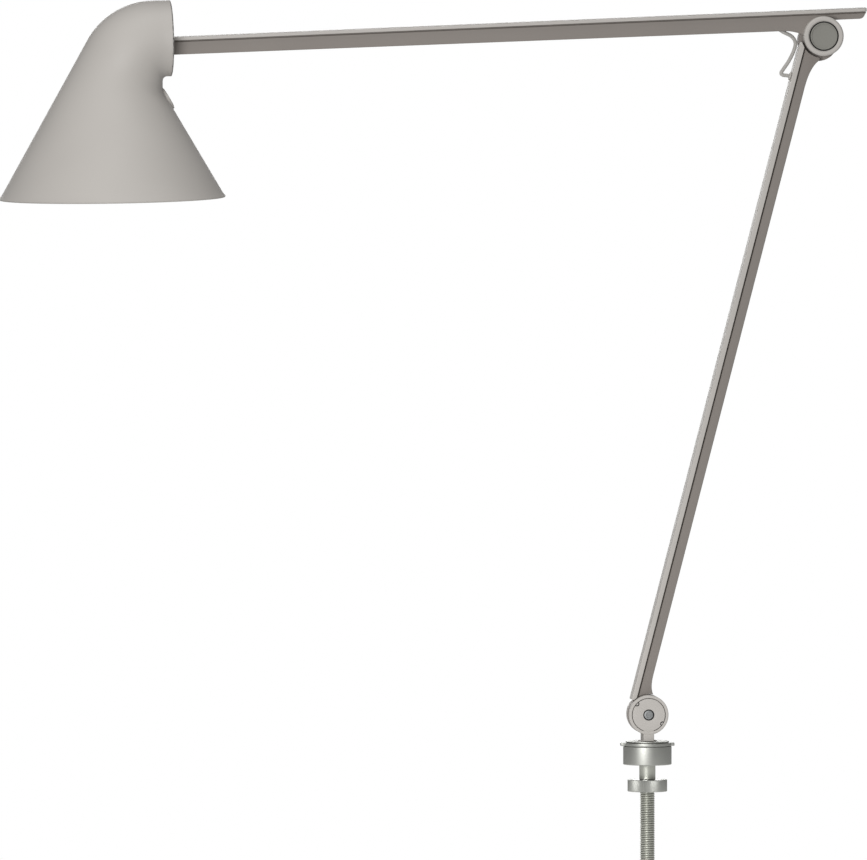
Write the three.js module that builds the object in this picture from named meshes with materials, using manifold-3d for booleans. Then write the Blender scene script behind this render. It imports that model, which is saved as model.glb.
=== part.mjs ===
// Architect desk lamp: a conical shade on a two-part arm, held by a clamp through the desk.
//
// Millimetres. The origin is on the swivel axis at the desk's top face. +Z is up, +X runs
// from the shade towards the elbow, and every hinge of the arm turns about Y.
// Each arm is drawn in a frame of its own: X along the arm from its pivot, Z towards its
// cover strip, and the pivot at the origin.

import * as THREE from "three";
import { mergeVertices } from "three/addons/utils/BufferGeometryUtils.js";
import Module from "manifold-3d";

const wasm = await Module();
wasm.setup();

// ---------------------------------------------------------------- driving dimensions

const GAP = 0.3; // between neighbouring pieces
const [FINE, MEDIUM, COARSE] = [36, 32, 24]; // sides of a turned piece
const REST = { lowerLean: 14.5, upperRise: 2.2, headLean: 0.9 }; // degrees

const BASE = {
  socketRadius: 15.9,
  socketHeight: 12,
  lugSpan: 35.2,
  capRadius: 14.2,
  capTop: 15.4,
  pivotHeight: 33,
};
const CLAMP = {
  shankRadius: 5.3,
  rodRadius: 4.9,
  rodEnd: -90,
  nutRadius: 13,
  nutTop: -9.9,
  nutHeight: 7.8,
};
const LOWER = { reach: 460, coverTop: 13.3, coverThick: 3.1, beamBottom: 3.1 };
const UPPER = {
  reach: 444.6,
  coverTop: 17,
  coverThick: 2.1,
  beamBottomHead: 5.55,
  beamBottomElbow: 4.1,
};
const ARM = { coverWidth: 15, beamWidthTop: 11, beamWidthBottom: 8.6, channelWidth: 4.8 };
const KNUCKLE = { radius: 13, halfDepth: 10, slotHalf: 5, tongueHalf: 3.9, gapRadius: 13.6 };
const ELBOW = {
  radius: 13,
  front: -12,
  rear: 11,
  split: 0.8, // half the gap between the boss in front and the eye behind
  cupRadius: 14.6,
  rearCupRadius: 15.4,
  lobeRadius: 13,
  lobeX: -4.3,
  lobeZ: 1.5,
  closes: 21, // degrees past the rest pose that the eye's lobe has room to turn
};
const SHADE = {
  rimRadius: 74.25,
  halfAngle: 29.75,
  axisX: -24.4,
  rimZ: -98.6,
  wall: 1.8,
  mouthX: 15.8,
  mouthZ: 5.85,
  mouthRadius: 24.9,
  shoulderRadius: 50,
  notchX: 9.8,
  notchFillet: 3,
  coneTopZ: -31,
};
const SWITCH = { holeRadius: 8.2, bezelRadius: 8, bezelBore: 7, bodyRadius: 7.4, buttonRadius: 6.7 };
const FORK = { half: 5.6, jawHalf: 3.1, cheekRadius: 4.4, baseRadius: 6 };
const CARRIER = { low: -51, high: -48, eyeRadius: 4.5, ventRadius: 4.5, vents: 8, ventSpread: 33 };
const PIN_RADIUS = 1.6; // of the head's tilt pin
const AXLE_RADIUS = 3;
const LEAD_RADIUS = 1.25;
const STEM = { radius: 3, height: 10.75, depth: 22 }; // height above the elbow pivot, in the arm's frame

const UPPER_END = 9.6 - UPPER.reach; // the arm stops short of the head hinge
const UPPER_TAIL = 29.4; // past the elbow pivot

// ---------------------------------------------------------------- solids from geometry

const X = new THREE.Vector3(1, 0, 0);
const Y = new THREE.Vector3(0, 1, 0);
const Z = new THREE.Vector3(0, 0, 1);
const radians = THREE.MathUtils.degToRad;

function enclosedVolume(positions, corners) {
  const [a, b, c] = [new THREE.Vector3(), new THREE.Vector3(), new THREE.Vector3()];
  let sum = 0;
  for (let i = 0; i < corners.length; i += 3) {
    a.fromArray(positions, 3 * corners[i]);
    b.fromArray(positions, 3 * corners[i + 1]);
    c.fromArray(positions, 3 * corners[i + 2]);
    sum += a.dot(b.cross(c)) / 6;
  }
  return sum;
}

/** A closed geometry as a solid, its shared vertices merged and its faces turned outwards. */
function solid(geometry) {
  geometry.deleteAttribute("normal");
  geometry.deleteAttribute("uv");
  const merged = mergeVertices(geometry, 1e-4);
  const positions = merged.getAttribute("position").array;
  const corners = [];
  const index = merged.index.array;
  for (let i = 0; i < index.length; i += 3) {
    const [a, b, c] = index.slice(i, i + 3);
    if (a !== b && b !== c && c !== a) {
      corners.push(a, b, c);
    }
  }
  if (enclosedVolume(positions, corners) < 0) {
    corners.reverse();
  }
  return new wasm.Manifold(
    new wasm.Mesh({
      numProp: 3,
      vertProperties: new Float32Array(positions),
      triVerts: new Uint32Array(corners),
    }),
  );
}

/** A profile of [radius, height] points turned about Z, or about Y for a hinge part. */
function turned(profile, { axis = "z", segments = 40 } = {}) {
  const points = profile.map(([radius, height]) => new THREE.Vector2(radius, height));
  if (points[0].x > 0) {
    points.push(points[0].clone());
  }
  const geometry = new THREE.LatheGeometry(points, segments);
  if (axis === "z") {
    geometry.rotateX(Math.PI / 2);
  }
  return solid(geometry);
}

/** A ring, or a disc when inner is 0, with its outer edges chamfered. */
function ring(inner, outer, low, high, { chamfer = 0, ...options } = {}) {
  const profile = [
    [inner, low],
    [outer - chamfer, low],
    [outer, low + chamfer],
    [outer, high - chamfer],
    [outer - chamfer, high],
    [inner, high],
  ];
  return turned(profile, options);
}

const hingeRing = (inner, outer, near, far, options = {}) =>
  ring(inner, outer, near, far, { axis: "y", segments: COARSE, ...options });

/** An outline in XZ, extruded along Y from near to far. */
function slab(outline, near, far) {
  const geometry = new THREE.ExtrudeGeometry(outline, {
    depth: far - near,
    bevelEnabled: false,
    curveSegments: 8,
  });
  geometry.applyMatrix4(new THREE.Matrix4().makeBasis(X, Z, Y.clone().negate()));
  return solid(geometry.translate(0, far, 0));
}

/** A section in YZ, extruded along X. */
function bar(section, from, to) {
  const geometry = new THREE.ExtrudeGeometry(section, { depth: to - from, bevelEnabled: false });
  geometry.applyMatrix4(new THREE.Matrix4().makeBasis(Y, Z, X));
  return solid(geometry.translate(from, 0, 0));
}

function box([x0, x1], [y0, y1], [z0, z1]) {
  const geometry = new THREE.BoxGeometry(x1 - x0, y1 - y0, z1 - z0);
  return solid(geometry.translate((x0 + x1) / 2, (y0 + y1) / 2, (z0 + z1) / 2));
}

/** A cylinder along X, for the bores and stems that run along an arm. */
function rodAlongX(radius, from, to, height = 0, segments = 20) {
  const geometry = new THREE.CylinderGeometry(radius, radius, to - from, segments);
  return solid(geometry.rotateZ(Math.PI / 2).translate((from + to) / 2, 0, height));
}

/** A hexagonal prism about Y. */
const hexPrism = (radius, near, far) => hingeRing(0, radius, near, far, { segments: 6 });

/** Closed geometry through rings of points, the last ring joined back to the first. */
function loft(rings) {
  const sides = rings[0].length;
  const index = [];
  for (let i = 0; i < rings.length; i += 1) {
    const next = (i + 1) % rings.length;
    for (let j = 0; j < sides; j += 1) {
      const right = (j + 1) % sides;
      const [a, b] = [i * sides + j, i * sides + right];
      const [c, d] = [next * sides + right, next * sides + j];
      index.push(a, b, c, a, c, d);
    }
  }
  const geometry = new THREE.BufferGeometry();
  geometry.setFromPoints(rings.flat());
  geometry.setIndex(index);
  return geometry;
}

/** A round lead along a smooth curve through [x, z] points in the plane of the arms. */
function lead(points, steps) {
  const curve = new THREE.CatmullRomCurve3(points.map(([x, z]) => new THREE.Vector3(x, 0, z)));
  const section = new THREE.Shape();
  for (let i = 0; i < 8; i += 1) {
    const angle = (i * Math.PI) / 4;
    const [across, along] = [LEAD_RADIUS * Math.cos(angle), LEAD_RADIUS * Math.sin(angle)];
    if (i === 0) {
      section.moveTo(across, along);
    } else {
      section.lineTo(across, along);
    }
  }
  section.closePath();
  return solid(new THREE.ExtrudeGeometry(section, { steps, extrudePath: curve }));
}

// ---------------------------------------------------------------- materials

const finish = (color, roughness, metalness) =>
  new THREE.MeshStandardMaterial({ color, roughness, metalness });

const PAINT = finish(0xb9b6b1, 0.6, 0.1);
const DARK_PAINT = finish(0x86817b, 0.65, 0.1);
const BRUSHED = finish(0xb4b4ae, 0.35, 1);
const POLISHED = finish(0xc8c8c4, 0.15, 1);
const THREAD_STEEL = finish(0xa3a39c, 0.4, 1);
const CAP_RUBBER = finish(0x87857f, 0.9, 0);
const BRONZE = finish(0xa98f5c, 0.4, 1);
const SPRING_STEEL = finish(0x8f9296, 0.3, 1);
const LEAD_SLEEVE = finish(0xa6a4a2, 0.9, 0);
const RUBBER = finish(0x3a3a38, 0.9, 0);
const WHITE_ALUMINIUM = finish(0xeeeeea, 0.5, 0);
const OPAL = finish(0xf4f3ee, 0.4, 0);
const HEAT_SINK = finish(0x9a9c9e, 0.5, 1);
const BOARD = finish(0xe6ebe6, 0.6, 0);
const SWITCH_PLASTIC = finish(0x2d2d2d, 0.6, 0);

// ---------------------------------------------------------------- clamp through the desk

function baseSocket() {
  const { socketRadius: radius, socketHeight: top } = BASE;
  const floor = 3;
  const bore = 10.4;
  const padRecess = 0.9;
  const padRadius = 13.4;
  const profile = [
    [CLAMP.shankRadius + GAP, padRecess],
    [padRadius, padRecess],
    [padRadius, 0],
    [radius - 0.5, 0],
    [radius, 0.5],
    [radius, top - 0.3],
    [radius - 0.3, top],
    [bore, top],
    [bore, floor],
    [CLAMP.shankRadius + GAP, floor],
  ];
  return turned(profile, { segments: FINE });
}

function lugRing() {
  const { socketHeight: low, lugSpan, capTop } = BASE;
  const [bottom, top] = [low + GAP, capTop - 1.1];
  const lugs = box([-lugSpan / 2, lugSpan / 2], [-3.5, 3.5], [bottom, top]);
  const bore = ring(0, 6.6, bottom - 1, top + 1);
  return ring(0, 15.6, bottom, top, { segments: FINE }).add(lugs).subtract(bore);
}

const deskPad = () => ring(CLAMP.shankRadius + GAP, 13.1, 0, 0.6);

const swivelBush = () => ring(6.4, 10.1, 7.5, BASE.socketHeight - GAP, { segments: 24 });

/** Hollow rod: a head inside the socket, a plain shank through the desk face, then the thread. */
function threadedRod() {
  const bore = 2.6;
  const shankEnd = CLAMP.nutTop + GAP;
  const profile = [
    [bore, 5.4],
    [8.4, 5.4],
    [8.4, 3.3],
    [CLAMP.shankRadius, 3.3],
    [CLAMP.shankRadius, shankEnd],
    [CLAMP.rodRadius, shankEnd],
    [CLAMP.rodRadius, CLAMP.rodEnd + 1],
    [CLAMP.rodRadius - 1, CLAMP.rodEnd],
    [bore, CLAMP.rodEnd],
  ];
  return turned(profile, { segments: 24 });
}

function leadBush() {
  const low = CLAMP.rodEnd - 1.3;
  const shoulder = CLAMP.rodEnd - GAP;
  return turned(
    [
      [1.6, low],
      [3.4, low],
      [3.4, shoulder],
      [2.3, shoulder],
      [2.3, shoulder + 6],
      [1.6, shoulder + 6],
    ],
    { segments: 16 },
  );
}

function clampNut() {
  const { nutRadius: radius, nutTop: top, nutHeight } = CLAMP;
  const low = top - nutHeight;
  const bore = CLAMP.rodRadius + GAP;
  const profile = [
    [bore, low],
    [radius - 0.5, low],
    [radius, low + 0.5],
    [radius, top - 0.5],
    [radius - 0.5, top],
    [9.9, top],
    [9.9, top - 1.3],
    [bore, top - 1.3],
  ];
  return turned(profile, { segments: FINE });
}

const thrustRing = () => ring(6, 9.6, CLAMP.nutTop - 1, CLAMP.nutTop + 0.1, { segments: 32 });

// ---------------------------------------------------------------- swivelling base knuckle

/** Neck, two cheeks and a spigot in one casting; its pivot is at the origin. */
function baseKnuckle() {
  const { radius, halfDepth, slotHalf } = KNUCKLE;
  const neckLow = BASE.capTop + GAP - BASE.pivotHeight;
  const spigotEnd = 6.4 - BASE.pivotHeight;
  const chamfer = 0.6;
  const drum = hingeRing(0, radius, -halfDepth, halfDepth, { chamfer, segments: FINE });
  const neck = box([-3.5, 3.5], [-halfDepth + 0.2, halfDepth - 0.2], [neckLow, -8]);
  const spigot = ring(0, 6.1, spigotEnd, neckLow + GAP, { segments: COARSE });
  const clipGroove = ring(5.2, 8, 6.7 - BASE.pivotHeight, 7.3 - BASE.pivotHeight, { segments: 24 });
  const slot = hingeRing(0, KNUCKLE.gapRadius, -slotHalf, slotHalf, { segments: FINE });
  const frontRecess = hingeRing(0, 11.1, -halfDepth - 1, -6.6, { segments: FINE });
  const rearRecess = hingeRing(0, 8, 6.6, halfDepth + 1);
  const bore = hingeRing(0, AXLE_RADIUS + GAP, -halfDepth, halfDepth);
  return drum
    .add(neck)
    .add(spigot)
    .subtract(slot)
    .subtract(frontRecess)
    .subtract(rearRecess)
    .subtract(bore)
    .subtract(clipGroove);
}

const swivelCap = () => ring(6.4, BASE.capRadius, BASE.capTop - 0.8, BASE.capTop, { segments: FINE });

/** Snap ring in the spigot's groove, open on one side as it is fitted. */
function spigotClip() {
  const [low, high] = [6.75, 7.2];
  const mouth = box([0, 9], [-1.2, 1.2], [low - 1, high + 1]);
  return ring(5.4, 7.6, low, high, { segments: 24 }).subtract(mouth);
}

function baseAxle() {
  const pilotHole = hingeRing(0, 1.9, -7, -2, { segments: 16 });
  return hingeRing(0, AXLE_RADIUS, -6.3, 9.6, { chamfer: 0.3 }).subtract(pilotHole);
}

/** Front cover disc with a countersunk centre hole and two notches for a pin spanner. */
function baseCover() {
  const radius = 10.7;
  const [front, back] = [-KNUCKLE.halfDepth, -6.9];
  const screwSeat = hingeRing(0, 3.65, front - 1, front + 2);
  const screwHole = hingeRing(0, 1.9, front, back + 1, { segments: 16 });
  let cover = hingeRing(0, radius, front, back, { chamfer: 0.3, segments: FINE });
  cover = cover.subtract(screwSeat).subtract(screwHole);
  for (const angle of [137, -33]) {
    const notch = hingeRing(0, 1.6, front - 1, front + 0.9, { segments: 16 });
    const [x, z] = [radius * Math.cos(radians(angle)), radius * Math.sin(radians(angle))];
    cover = cover.subtract(notch.translate([x, 0, z]));
  }
  return cover;
}

function coverScrew() {
  const head = hingeRing(0, 3.3, -9.7, -8.3, { chamfer: 0.25, segments: 24 });
  const shank = hingeRing(0, 1.6, -8.4, -2.6, { segments: 16 });
  return head.add(shank).subtract(hexPrism(2.3, -10, -8.8));
}

function nutOnAxle(near, far) {
  const hole = hingeRing(0, AXLE_RADIUS + GAP, near - 1, far + 1);
  return hexPrism(5.4, near, far).subtract(hole);
}

/** Conical disc spring about Y, its wider edge on the far side. */
function discSpring(near, far) {
  const sheet = 0.5;
  const [inner, outer] = [AXLE_RADIUS + 0.4, 6.9];
  return turned(
    [
      [inner, near],
      [inner, near + sheet],
      [outer, far],
      [outer, far - sheet],
    ],
    { axis: "y", segments: 24 },
  );
}

const frictionWasher = (near, far, outer) => hingeRing(AXLE_RADIUS + GAP, outer, near, far);

// ---------------------------------------------------------------- arms

/** The beam's section, narrowing away from the cover that closes its open side. */
function beamSection(top, bottom) {
  const [wide, narrow] = [ARM.beamWidthTop / 2, ARM.beamWidthBottom / 2];
  const section = new THREE.Shape();
  section.moveTo(-narrow, bottom);
  section.lineTo(narrow, bottom);
  section.lineTo(wide, top);
  section.lineTo(-wide, top);
  section.closePath();
  return section;
}

/** A side outline cut to the beam's section, with a channel for the lead under the cover. */
function beam(outline, top, bottom, channel) {
  const [from, to] = [-UPPER.reach, LOWER.reach];
  const half = ARM.channelWidth / 2;
  const trough = box([channel.from, channel.to], [-half, half], [channel.floor, top + 1]);
  const halfWidth = ARM.beamWidthTop / 2;
  return slab(outline, -halfWidth, halfWidth)
    .intersect(bar(beamSection(top, bottom), from, to))
    .subtract(trough);
}

/** A flat cover strip with rounded edges on its outer face. */
function coverStrip(from, to, top, thick) {
  const half = ARM.coverWidth / 2;
  const edge = 0.6;
  const section = new THREE.Shape();
  section.moveTo(-half, top - thick);
  section.lineTo(half, top - thick);
  section.lineTo(half, top - edge);
  section.lineTo(half - edge, top);
  section.lineTo(-half + edge, top);
  section.lineTo(-half, top - edge);
  section.closePath();
  return bar(section, from, to);
}

const LOWER_BEAM_TOP = LOWER.coverTop - LOWER.coverThick - GAP;
const UPPER_BEAM_TOP = UPPER.coverTop - UPPER.coverThick - GAP;
const LEAD_ENTRY = LOWER.reach - 31; // where the elbow lead goes into the lower arm

/** The round lobe beside the elbow's eye, about the elbow's pivot in the lower arm's frame. */
function elbowLobe(clearance, near, far, options = {}) {
  const disc = hingeRing(0, ELBOW.lobeRadius + clearance, near, far, { segments: FINE, ...options });
  return disc.translate([ELBOW.lobeX, 0, ELBOW.lobeZ]);
}

function lowerBeam() {
  const { beamBottom, reach } = LOWER;
  const top = LOWER_BEAM_TOP;
  const outline = new THREE.Shape();
  outline.moveTo(0, 0);
  outline.lineTo(12, -2);
  outline.quadraticCurveTo(15, beamBottom, 26, beamBottom);
  outline.lineTo(reach - 36, beamBottom);
  outline.quadraticCurveTo(reach - 22, beamBottom, reach - 16, -2);
  outline.lineTo(reach, 0);
  outline.lineTo(reach, top);
  outline.lineTo(0, top);
  outline.closePath();
  const channel = { from: 20, to: LEAD_ENTRY + 4, floor: 5.2 };
  const tongue = hingeRing(0, 12.9, -KNUCKLE.tongueHalf, KNUCKLE.tongueHalf, { segments: FINE });
  const knuckleRoom = hingeRing(0, KNUCKLE.gapRadius, -8, 8, { segments: FINE });
  const elbowRoom = hingeRing(0, ELBOW.cupRadius, -8, ELBOW.split, { segments: FINE });
  const eye = hingeRing(0, 12.9, ELBOW.split, ELBOW.rear, { chamfer: 0.5, segments: FINE });
  const lobe = elbowLobe(0, ELBOW.split, ELBOW.rear, { chamfer: 0.5 });
  const capRecess = hingeRing(0, 8, 8, ELBOW.rear + 1);
  const elbowEye = eye.add(lobe).subtract(capRecess);
  const strut = box([6, 20], [-KNUCKLE.tongueHalf, KNUCKLE.tongueHalf], [beamBottom, top]);
  const bore = hingeRing(0, AXLE_RADIUS + GAP, -20, 20);
  return beam(outline, top, -2, channel)
    .subtract(knuckleRoom)
    .add(tongue)
    .add(strut)
    .subtract(elbowRoom.translate([reach, 0, 0]))
    .add(elbowEye.translate([reach, 0, 0]))
    .subtract(bore)
    .subtract(bore.translate([reach, 0, 0]));
}

function lowerCover() {
  const { coverTop, coverThick, reach } = LOWER;
  const strip = coverStrip(7, reach - 7.5, coverTop, coverThick);
  const knuckleRoom = hingeRing(0, KNUCKLE.gapRadius, -9, 9, { segments: FINE });
  const elbowRoom = hingeRing(0, ELBOW.cupRadius, -9, 9, { segments: FINE });
  const leadHole = ring(0, 2.2, coverTop - 5, coverTop + 1, { segments: 20 });
  const lobeRoom = elbowLobe(2 * GAP, ELBOW.split - GAP, 9);
  return strip
    .subtract(knuckleRoom)
    .subtract(lobeRoom.translate([reach, 0, 0]))
    .subtract(elbowRoom.translate([reach, 0, 0]))
    .subtract(leadHole.translate([LEAD_ENTRY, 0, 0]));
}

function leadGrommet() {
  const { coverTop, coverThick } = LOWER;
  const shoulder = coverTop + GAP;
  return turned(
    [
      [1.55, coverTop - coverThick],
      [1.9, coverTop - coverThick],
      [1.9, shoulder],
      [2.9, shoulder],
      [2.9, shoulder + 0.7],
      [1.55, shoulder + 1.1],
    ],
    { segments: 20 },
  ).translate([LEAD_ENTRY, 0, 0]);
}

const lowerArmLead = () => rodAlongX(LEAD_RADIUS, 22, LEAD_ENTRY - 8.5, 7.4, 8);

const ELBOW_FOLD = 90 - REST.lowerLean - REST.upperRise; // from one arm's frame to the other's

/** The space that the lower arm's lobe sweeps as the elbow closes, in the upper arm's frame. */
function lobeSweep() {
  const turns = 4;
  const lobe = elbowLobe(2 * GAP, -ELBOW.split, 9);
  let sweep = lobe.rotate([0, -ELBOW_FOLD, 0]);
  for (let i = 1; i < turns; i += 1) {
    const closed = (ELBOW.closes * i) / (turns - 1);
    sweep = sweep.add(lobe.rotate([0, closed - ELBOW_FOLD, 0]));
  }
  return sweep;
}

/** The beam from the head's stem bore to the bar past the elbow, with the elbow's front boss. */
function upperBeam() {
  const top = UPPER_BEAM_TOP;
  const { beamBottomHead, beamBottomElbow } = UPPER;
  const tailBottom = 10.1;
  const outline = new THREE.Shape();
  outline.moveTo(UPPER_END, beamBottomHead);
  outline.lineTo(-27, beamBottomElbow);
  outline.quadraticCurveTo(-17, beamBottomElbow, -12, 0);
  outline.lineTo(0, 0);
  outline.lineTo(6, tailBottom);
  outline.lineTo(UPPER_TAIL - 5, tailBottom);
  outline.quadraticCurveTo(UPPER_TAIL - 2.4, tailBottom, UPPER_TAIL - 1.4, top - 2);
  outline.lineTo(UPPER_TAIL - 0.4, top);
  outline.lineTo(UPPER_END, top);
  outline.closePath();
  const { front, split } = ELBOW;
  const boss = hingeRing(0, ELBOW.radius, front, -split, { chamfer: 0.6, segments: FINE });
  const rearRoom = hingeRing(0, ELBOW.rearCupRadius, -ELBOW.split, 9, { segments: FINE });
  const capRecess = hingeRing(0, 9.7, ELBOW.front - 1, ELBOW.front + 3, { segments: MEDIUM });
  const springPocket = hingeRing(0, 7.6, ELBOW.front, -4.8);
  const bore = hingeRing(0, AXLE_RADIUS + GAP, -9, 0);
  const stemBore = rodAlongX(STEM.radius + GAP, UPPER_END - 1, UPPER_END + STEM.depth, STEM.height);
  const leadSlot = box([-36, -20], [-1.8, 1.8], [-3, 9]);
  const channel = { from: UPPER_END + STEM.depth - 2, to: -22, floor: 7.6 };
  return beam(outline, top, 0, channel)
    .subtract(rearRoom)
    .subtract(lobeSweep())
    .add(boss)
    .subtract(capRecess)
    .subtract(springPocket)
    .subtract(bore)
    .subtract(stemBore)
    .subtract(leadSlot);
}

function upperCover() {
  const { coverTop, coverThick } = UPPER;
  const half = ARM.coverWidth / 2;
  const corner = 2;
  const plan = new THREE.Shape();
  plan.moveTo(UPPER_END, -half);
  plan.lineTo(UPPER_TAIL - corner, -half);
  plan.quadraticCurveTo(UPPER_TAIL, -half, UPPER_TAIL, -half + corner);
  plan.lineTo(UPPER_TAIL, half - corner);
  plan.quadraticCurveTo(UPPER_TAIL, half, UPPER_TAIL - corner, half);
  plan.lineTo(UPPER_END, half);
  plan.closePath();
  const geometry = new THREE.ExtrudeGeometry(plan, {
    depth: 2 * coverThick,
    bevelEnabled: false,
    curveSegments: 6,
  });
  const blank = solid(geometry.translate(0, 0, coverTop - 1.5 * coverThick));
  return coverStrip(UPPER_END, UPPER_TAIL, coverTop, coverThick).intersect(blank);
}

const upperArmLead = () => rodAlongX(LEAD_RADIUS, UPPER_END + STEM.depth + 1, -36.4, 9.3, 8);

/** The short lead that crosses the elbow in a free loop, in the upper arm's frame. */
function elbowLead() {
  const route = [
    [-36, 9.3],
    [-31.5, 8],
    [-26.2, 3.7],
    [-20.4, 0.4],
    [-17.9, -3.8],
    [-19.1, -9.2],
    [-22.5, -15.6],
    [-26.6, -21.2],
    [-28, -23.6],
    [-26.7, -24.9],
    [-24.2, -25.3],
    [-20.4, -26.4],
    [-17.2, -27.9],
    [-16.6, -30.8],
    [-17.8, -34.8],
  ];
  return lead(route, 36);
}

// ---------------------------------------------------------------- elbow hardware

function elbowAxle() {
  const pin = hingeRing(0, AXLE_RADIUS, -8.4, 8.4);
  return pin.add(hingeRing(0, 6, 8.3, 9.3, { segments: 24 }));
}

function elbowCap() {
  const { front } = ELBOW;
  return hingeRing(0, 8.85, front - 0.1, front + 2.7, { chamfer: 0.5, segments: MEDIUM });
}

const elbowRearCap = () => hingeRing(0, 7.7, 9.6, ELBOW.rear + 0.3, { chamfer: 0.4 });

// ---------------------------------------------------------------- head hinge

/** Fork on a stem that turns in the upper arm's end; the hinge is at the origin. */
function headFork() {
  const armEnd = UPPER_END + UPPER.reach;
  const { half, jawHalf, cheekRadius, baseRadius } = FORK;
  const base = rodAlongX(baseRadius, armEnd - 3.6, armEnd - 1.6, 0, COARSE);
  const stem = rodAlongX(STEM.radius, armEnd - 2, armEnd + STEM.depth - 1);
  const cheeks = new THREE.Shape();
  cheeks.moveTo(armEnd - 3, -cheekRadius);
  cheeks.lineTo(armEnd - 3, cheekRadius);
  cheeks.lineTo(0, cheekRadius);
  cheeks.absarc(0, 0, cheekRadius, Math.PI / 2, 1.5 * Math.PI, false);
  cheeks.closePath();
  const jaw = box([-6, armEnd - 3.6], [-jawHalf, jawHalf], [-7, 7]);
  const pinHole = hingeRing(0, PIN_RADIUS + GAP, -8, 8, { segments: 16 });
  const wireWay = rodAlongX(1.4, armEnd - 8, armEnd + STEM.depth, 0, 10);
  return slab(cheeks, -half, half)
    .subtract(jaw)
    .add(base)
    .add(stem)
    .subtract(pinHole)
    .subtract(wireWay);
}

function forkWasher() {
  const armEnd = UPPER_END + UPPER.reach;
  const hole = rodAlongX(STEM.radius + GAP, armEnd - 3, armEnd + 1);
  return rodAlongX(FORK.half, armEnd - 1.3, armEnd - GAP, 0, COARSE).subtract(hole);
}

function tiltPin() {
  const pin = hingeRing(0, PIN_RADIUS, -6.2, 7.8, { segments: 16 });
  const head = hingeRing(0, 3, -7.4, -FORK.half - GAP, { chamfer: 0.4, segments: 20 });
  return pin.add(head);
}

function tiltNut() {
  const hole = hingeRing(0, PIN_RADIUS + GAP, 5, 9, { segments: 16 });
  return hexPrism(3.1, FORK.half + GAP, 7.6).subtract(hole);
}

/** Friction washer on one side of the carrier's eye: side is -1 in front and 1 behind. */
function tiltWasher(side) {
  const [near, far] = side < 0 ? [-2.8, -2.3] : [2.3, 2.8];
  return hingeRing(PIN_RADIUS + GAP, 4.2, near, far);
}

// ---------------------------------------------------------------- shade

const CONE_SLOPE = Math.tan(radians(SHADE.halfAngle));
const coneRadius = (z) => SHADE.rimRadius - CONE_SLOPE * (z - SHADE.rimZ);
const SHADE_TOP = SHADE.mouthZ + SHADE.mouthRadius;
const MOUTH_FLOOR = SHADE.mouthZ - SHADE.mouthRadius;

/** Centre of the arc that rounds the cone's far side into the flat top. */
function shoulderCentre() {
  const z = SHADE_TOP - SHADE.shoulderRadius;
  const reach = SHADE.shoulderRadius / Math.cos(radians(SHADE.halfAngle));
  return new THREE.Vector2(SHADE.axisX - coneRadius(z) + reach, z);
}

/** How far a ray from a point in XZ runs before it meets the cone's side, the shoulder or the top. */
function distanceToSkin(from, direction) {
  const coneGap = coneRadius(from.y) + from.x - SHADE.axisX;
  const toCone = -coneGap / (direction.x + CONE_SLOPE * -direction.y);
  const toTop = direction.y > 1e-6 ? (SHADE_TOP - from.y) / direction.y : Infinity;
  const centre = shoulderCentre();
  const offset = from.clone().sub(centre);
  const along = offset.dot(direction);
  const toArc = -along + Math.sqrt(along ** 2 - offset.lengthSq() + SHADE.shoulderRadius ** 2);
  const onArc = from.clone().addScaledVector(direction, toArc);
  const arcStart = centre.y + SHADE.shoulderRadius * Math.sin(radians(SHADE.halfAngle));
  if (onArc.x < centre.x && onArc.y > arcStart) {
    return toArc;
  }
  return Math.min(toTop, toCone > 0 ? toCone : Infinity);
}

/** The shade's sections: circles up the cone, then circles that fan round the notch to the mouth. */
function shadeSections() {
  const { axisX, rimZ, coneTopZ, notchX, notchFillet, mouthX } = SHADE;
  const sections = [rimZ, (rimZ + coneTopZ) / 2, coneTopZ].map((z) => ({
    centre: new THREE.Vector2(axisX, z),
    radius: coneRadius(z),
    towards: new THREE.Vector2(-1, 0),
  }));
  const inside = new THREE.Path();
  inside.moveTo(axisX + coneRadius(coneTopZ), coneTopZ);
  inside.quadraticCurveTo(notchX, coneTopZ + 2, notchX, coneTopZ + 5);
  inside.lineTo(notchX, MOUTH_FLOOR - notchFillet);
  inside.absarc(notchX + notchFillet, MOUTH_FLOOR - notchFillet, notchFillet, Math.PI, Math.PI / 2, true);
  inside.lineTo(mouthX, MOUTH_FLOOR);
  const steps = 12;
  for (let i = 1; i <= steps; i += 1) {
    const start = inside.getPointAt(i / steps);
    const angle = (Math.PI / 2) * THREE.MathUtils.smoothstep(i / steps, -0.1, 1);
    const towards = new THREE.Vector2(-Math.cos(angle), Math.sin(angle));
    const radius = distanceToSkin(start, towards) / 2;
    sections.push({ centre: start.addScaledVector(towards, radius), radius, towards });
  }
  return sections;
}

function sectionRing({ centre, radius, towards }, thinner) {
  const sides = 40;
  const points = [];
  for (let i = 0; i < sides; i += 1) {
    const angle = (2 * Math.PI * i) / sides;
    const across = (radius - thinner) * Math.cos(angle);
    points.push(
      new THREE.Vector3(
        centre.x + across * towards.x,
        (radius - thinner) * Math.sin(angle),
        centre.y + across * towards.y,
      ),
    );
  }
  return points;
}

const SWITCH_Z = -33.4;

/** Places a piece turned about X, drawn facing +X, on the back of the cone. */
function onSwitchSeat(piece) {
  const x = SHADE.axisX + coneRadius(SWITCH_Z);
  return piece.rotate([0, -SHADE.halfAngle, 0]).translate([x, 0, SWITCH_Z]);
}

function shade() {
  const sections = shadeSections();
  const outside = sections.map((section) => sectionRing(section, 0));
  const inside = sections.map((section) => sectionRing(section, SHADE.wall));
  const shell = solid(loft([...outside, ...inside.reverse()]));
  const switchHole = onSwitchSeat(rodAlongX(SWITCH.holeRadius, -6, 6, 0, MEDIUM));
  return shell.subtract(switchHole);
}

// ---------------------------------------------------------------- pieces inside the shade

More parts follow.
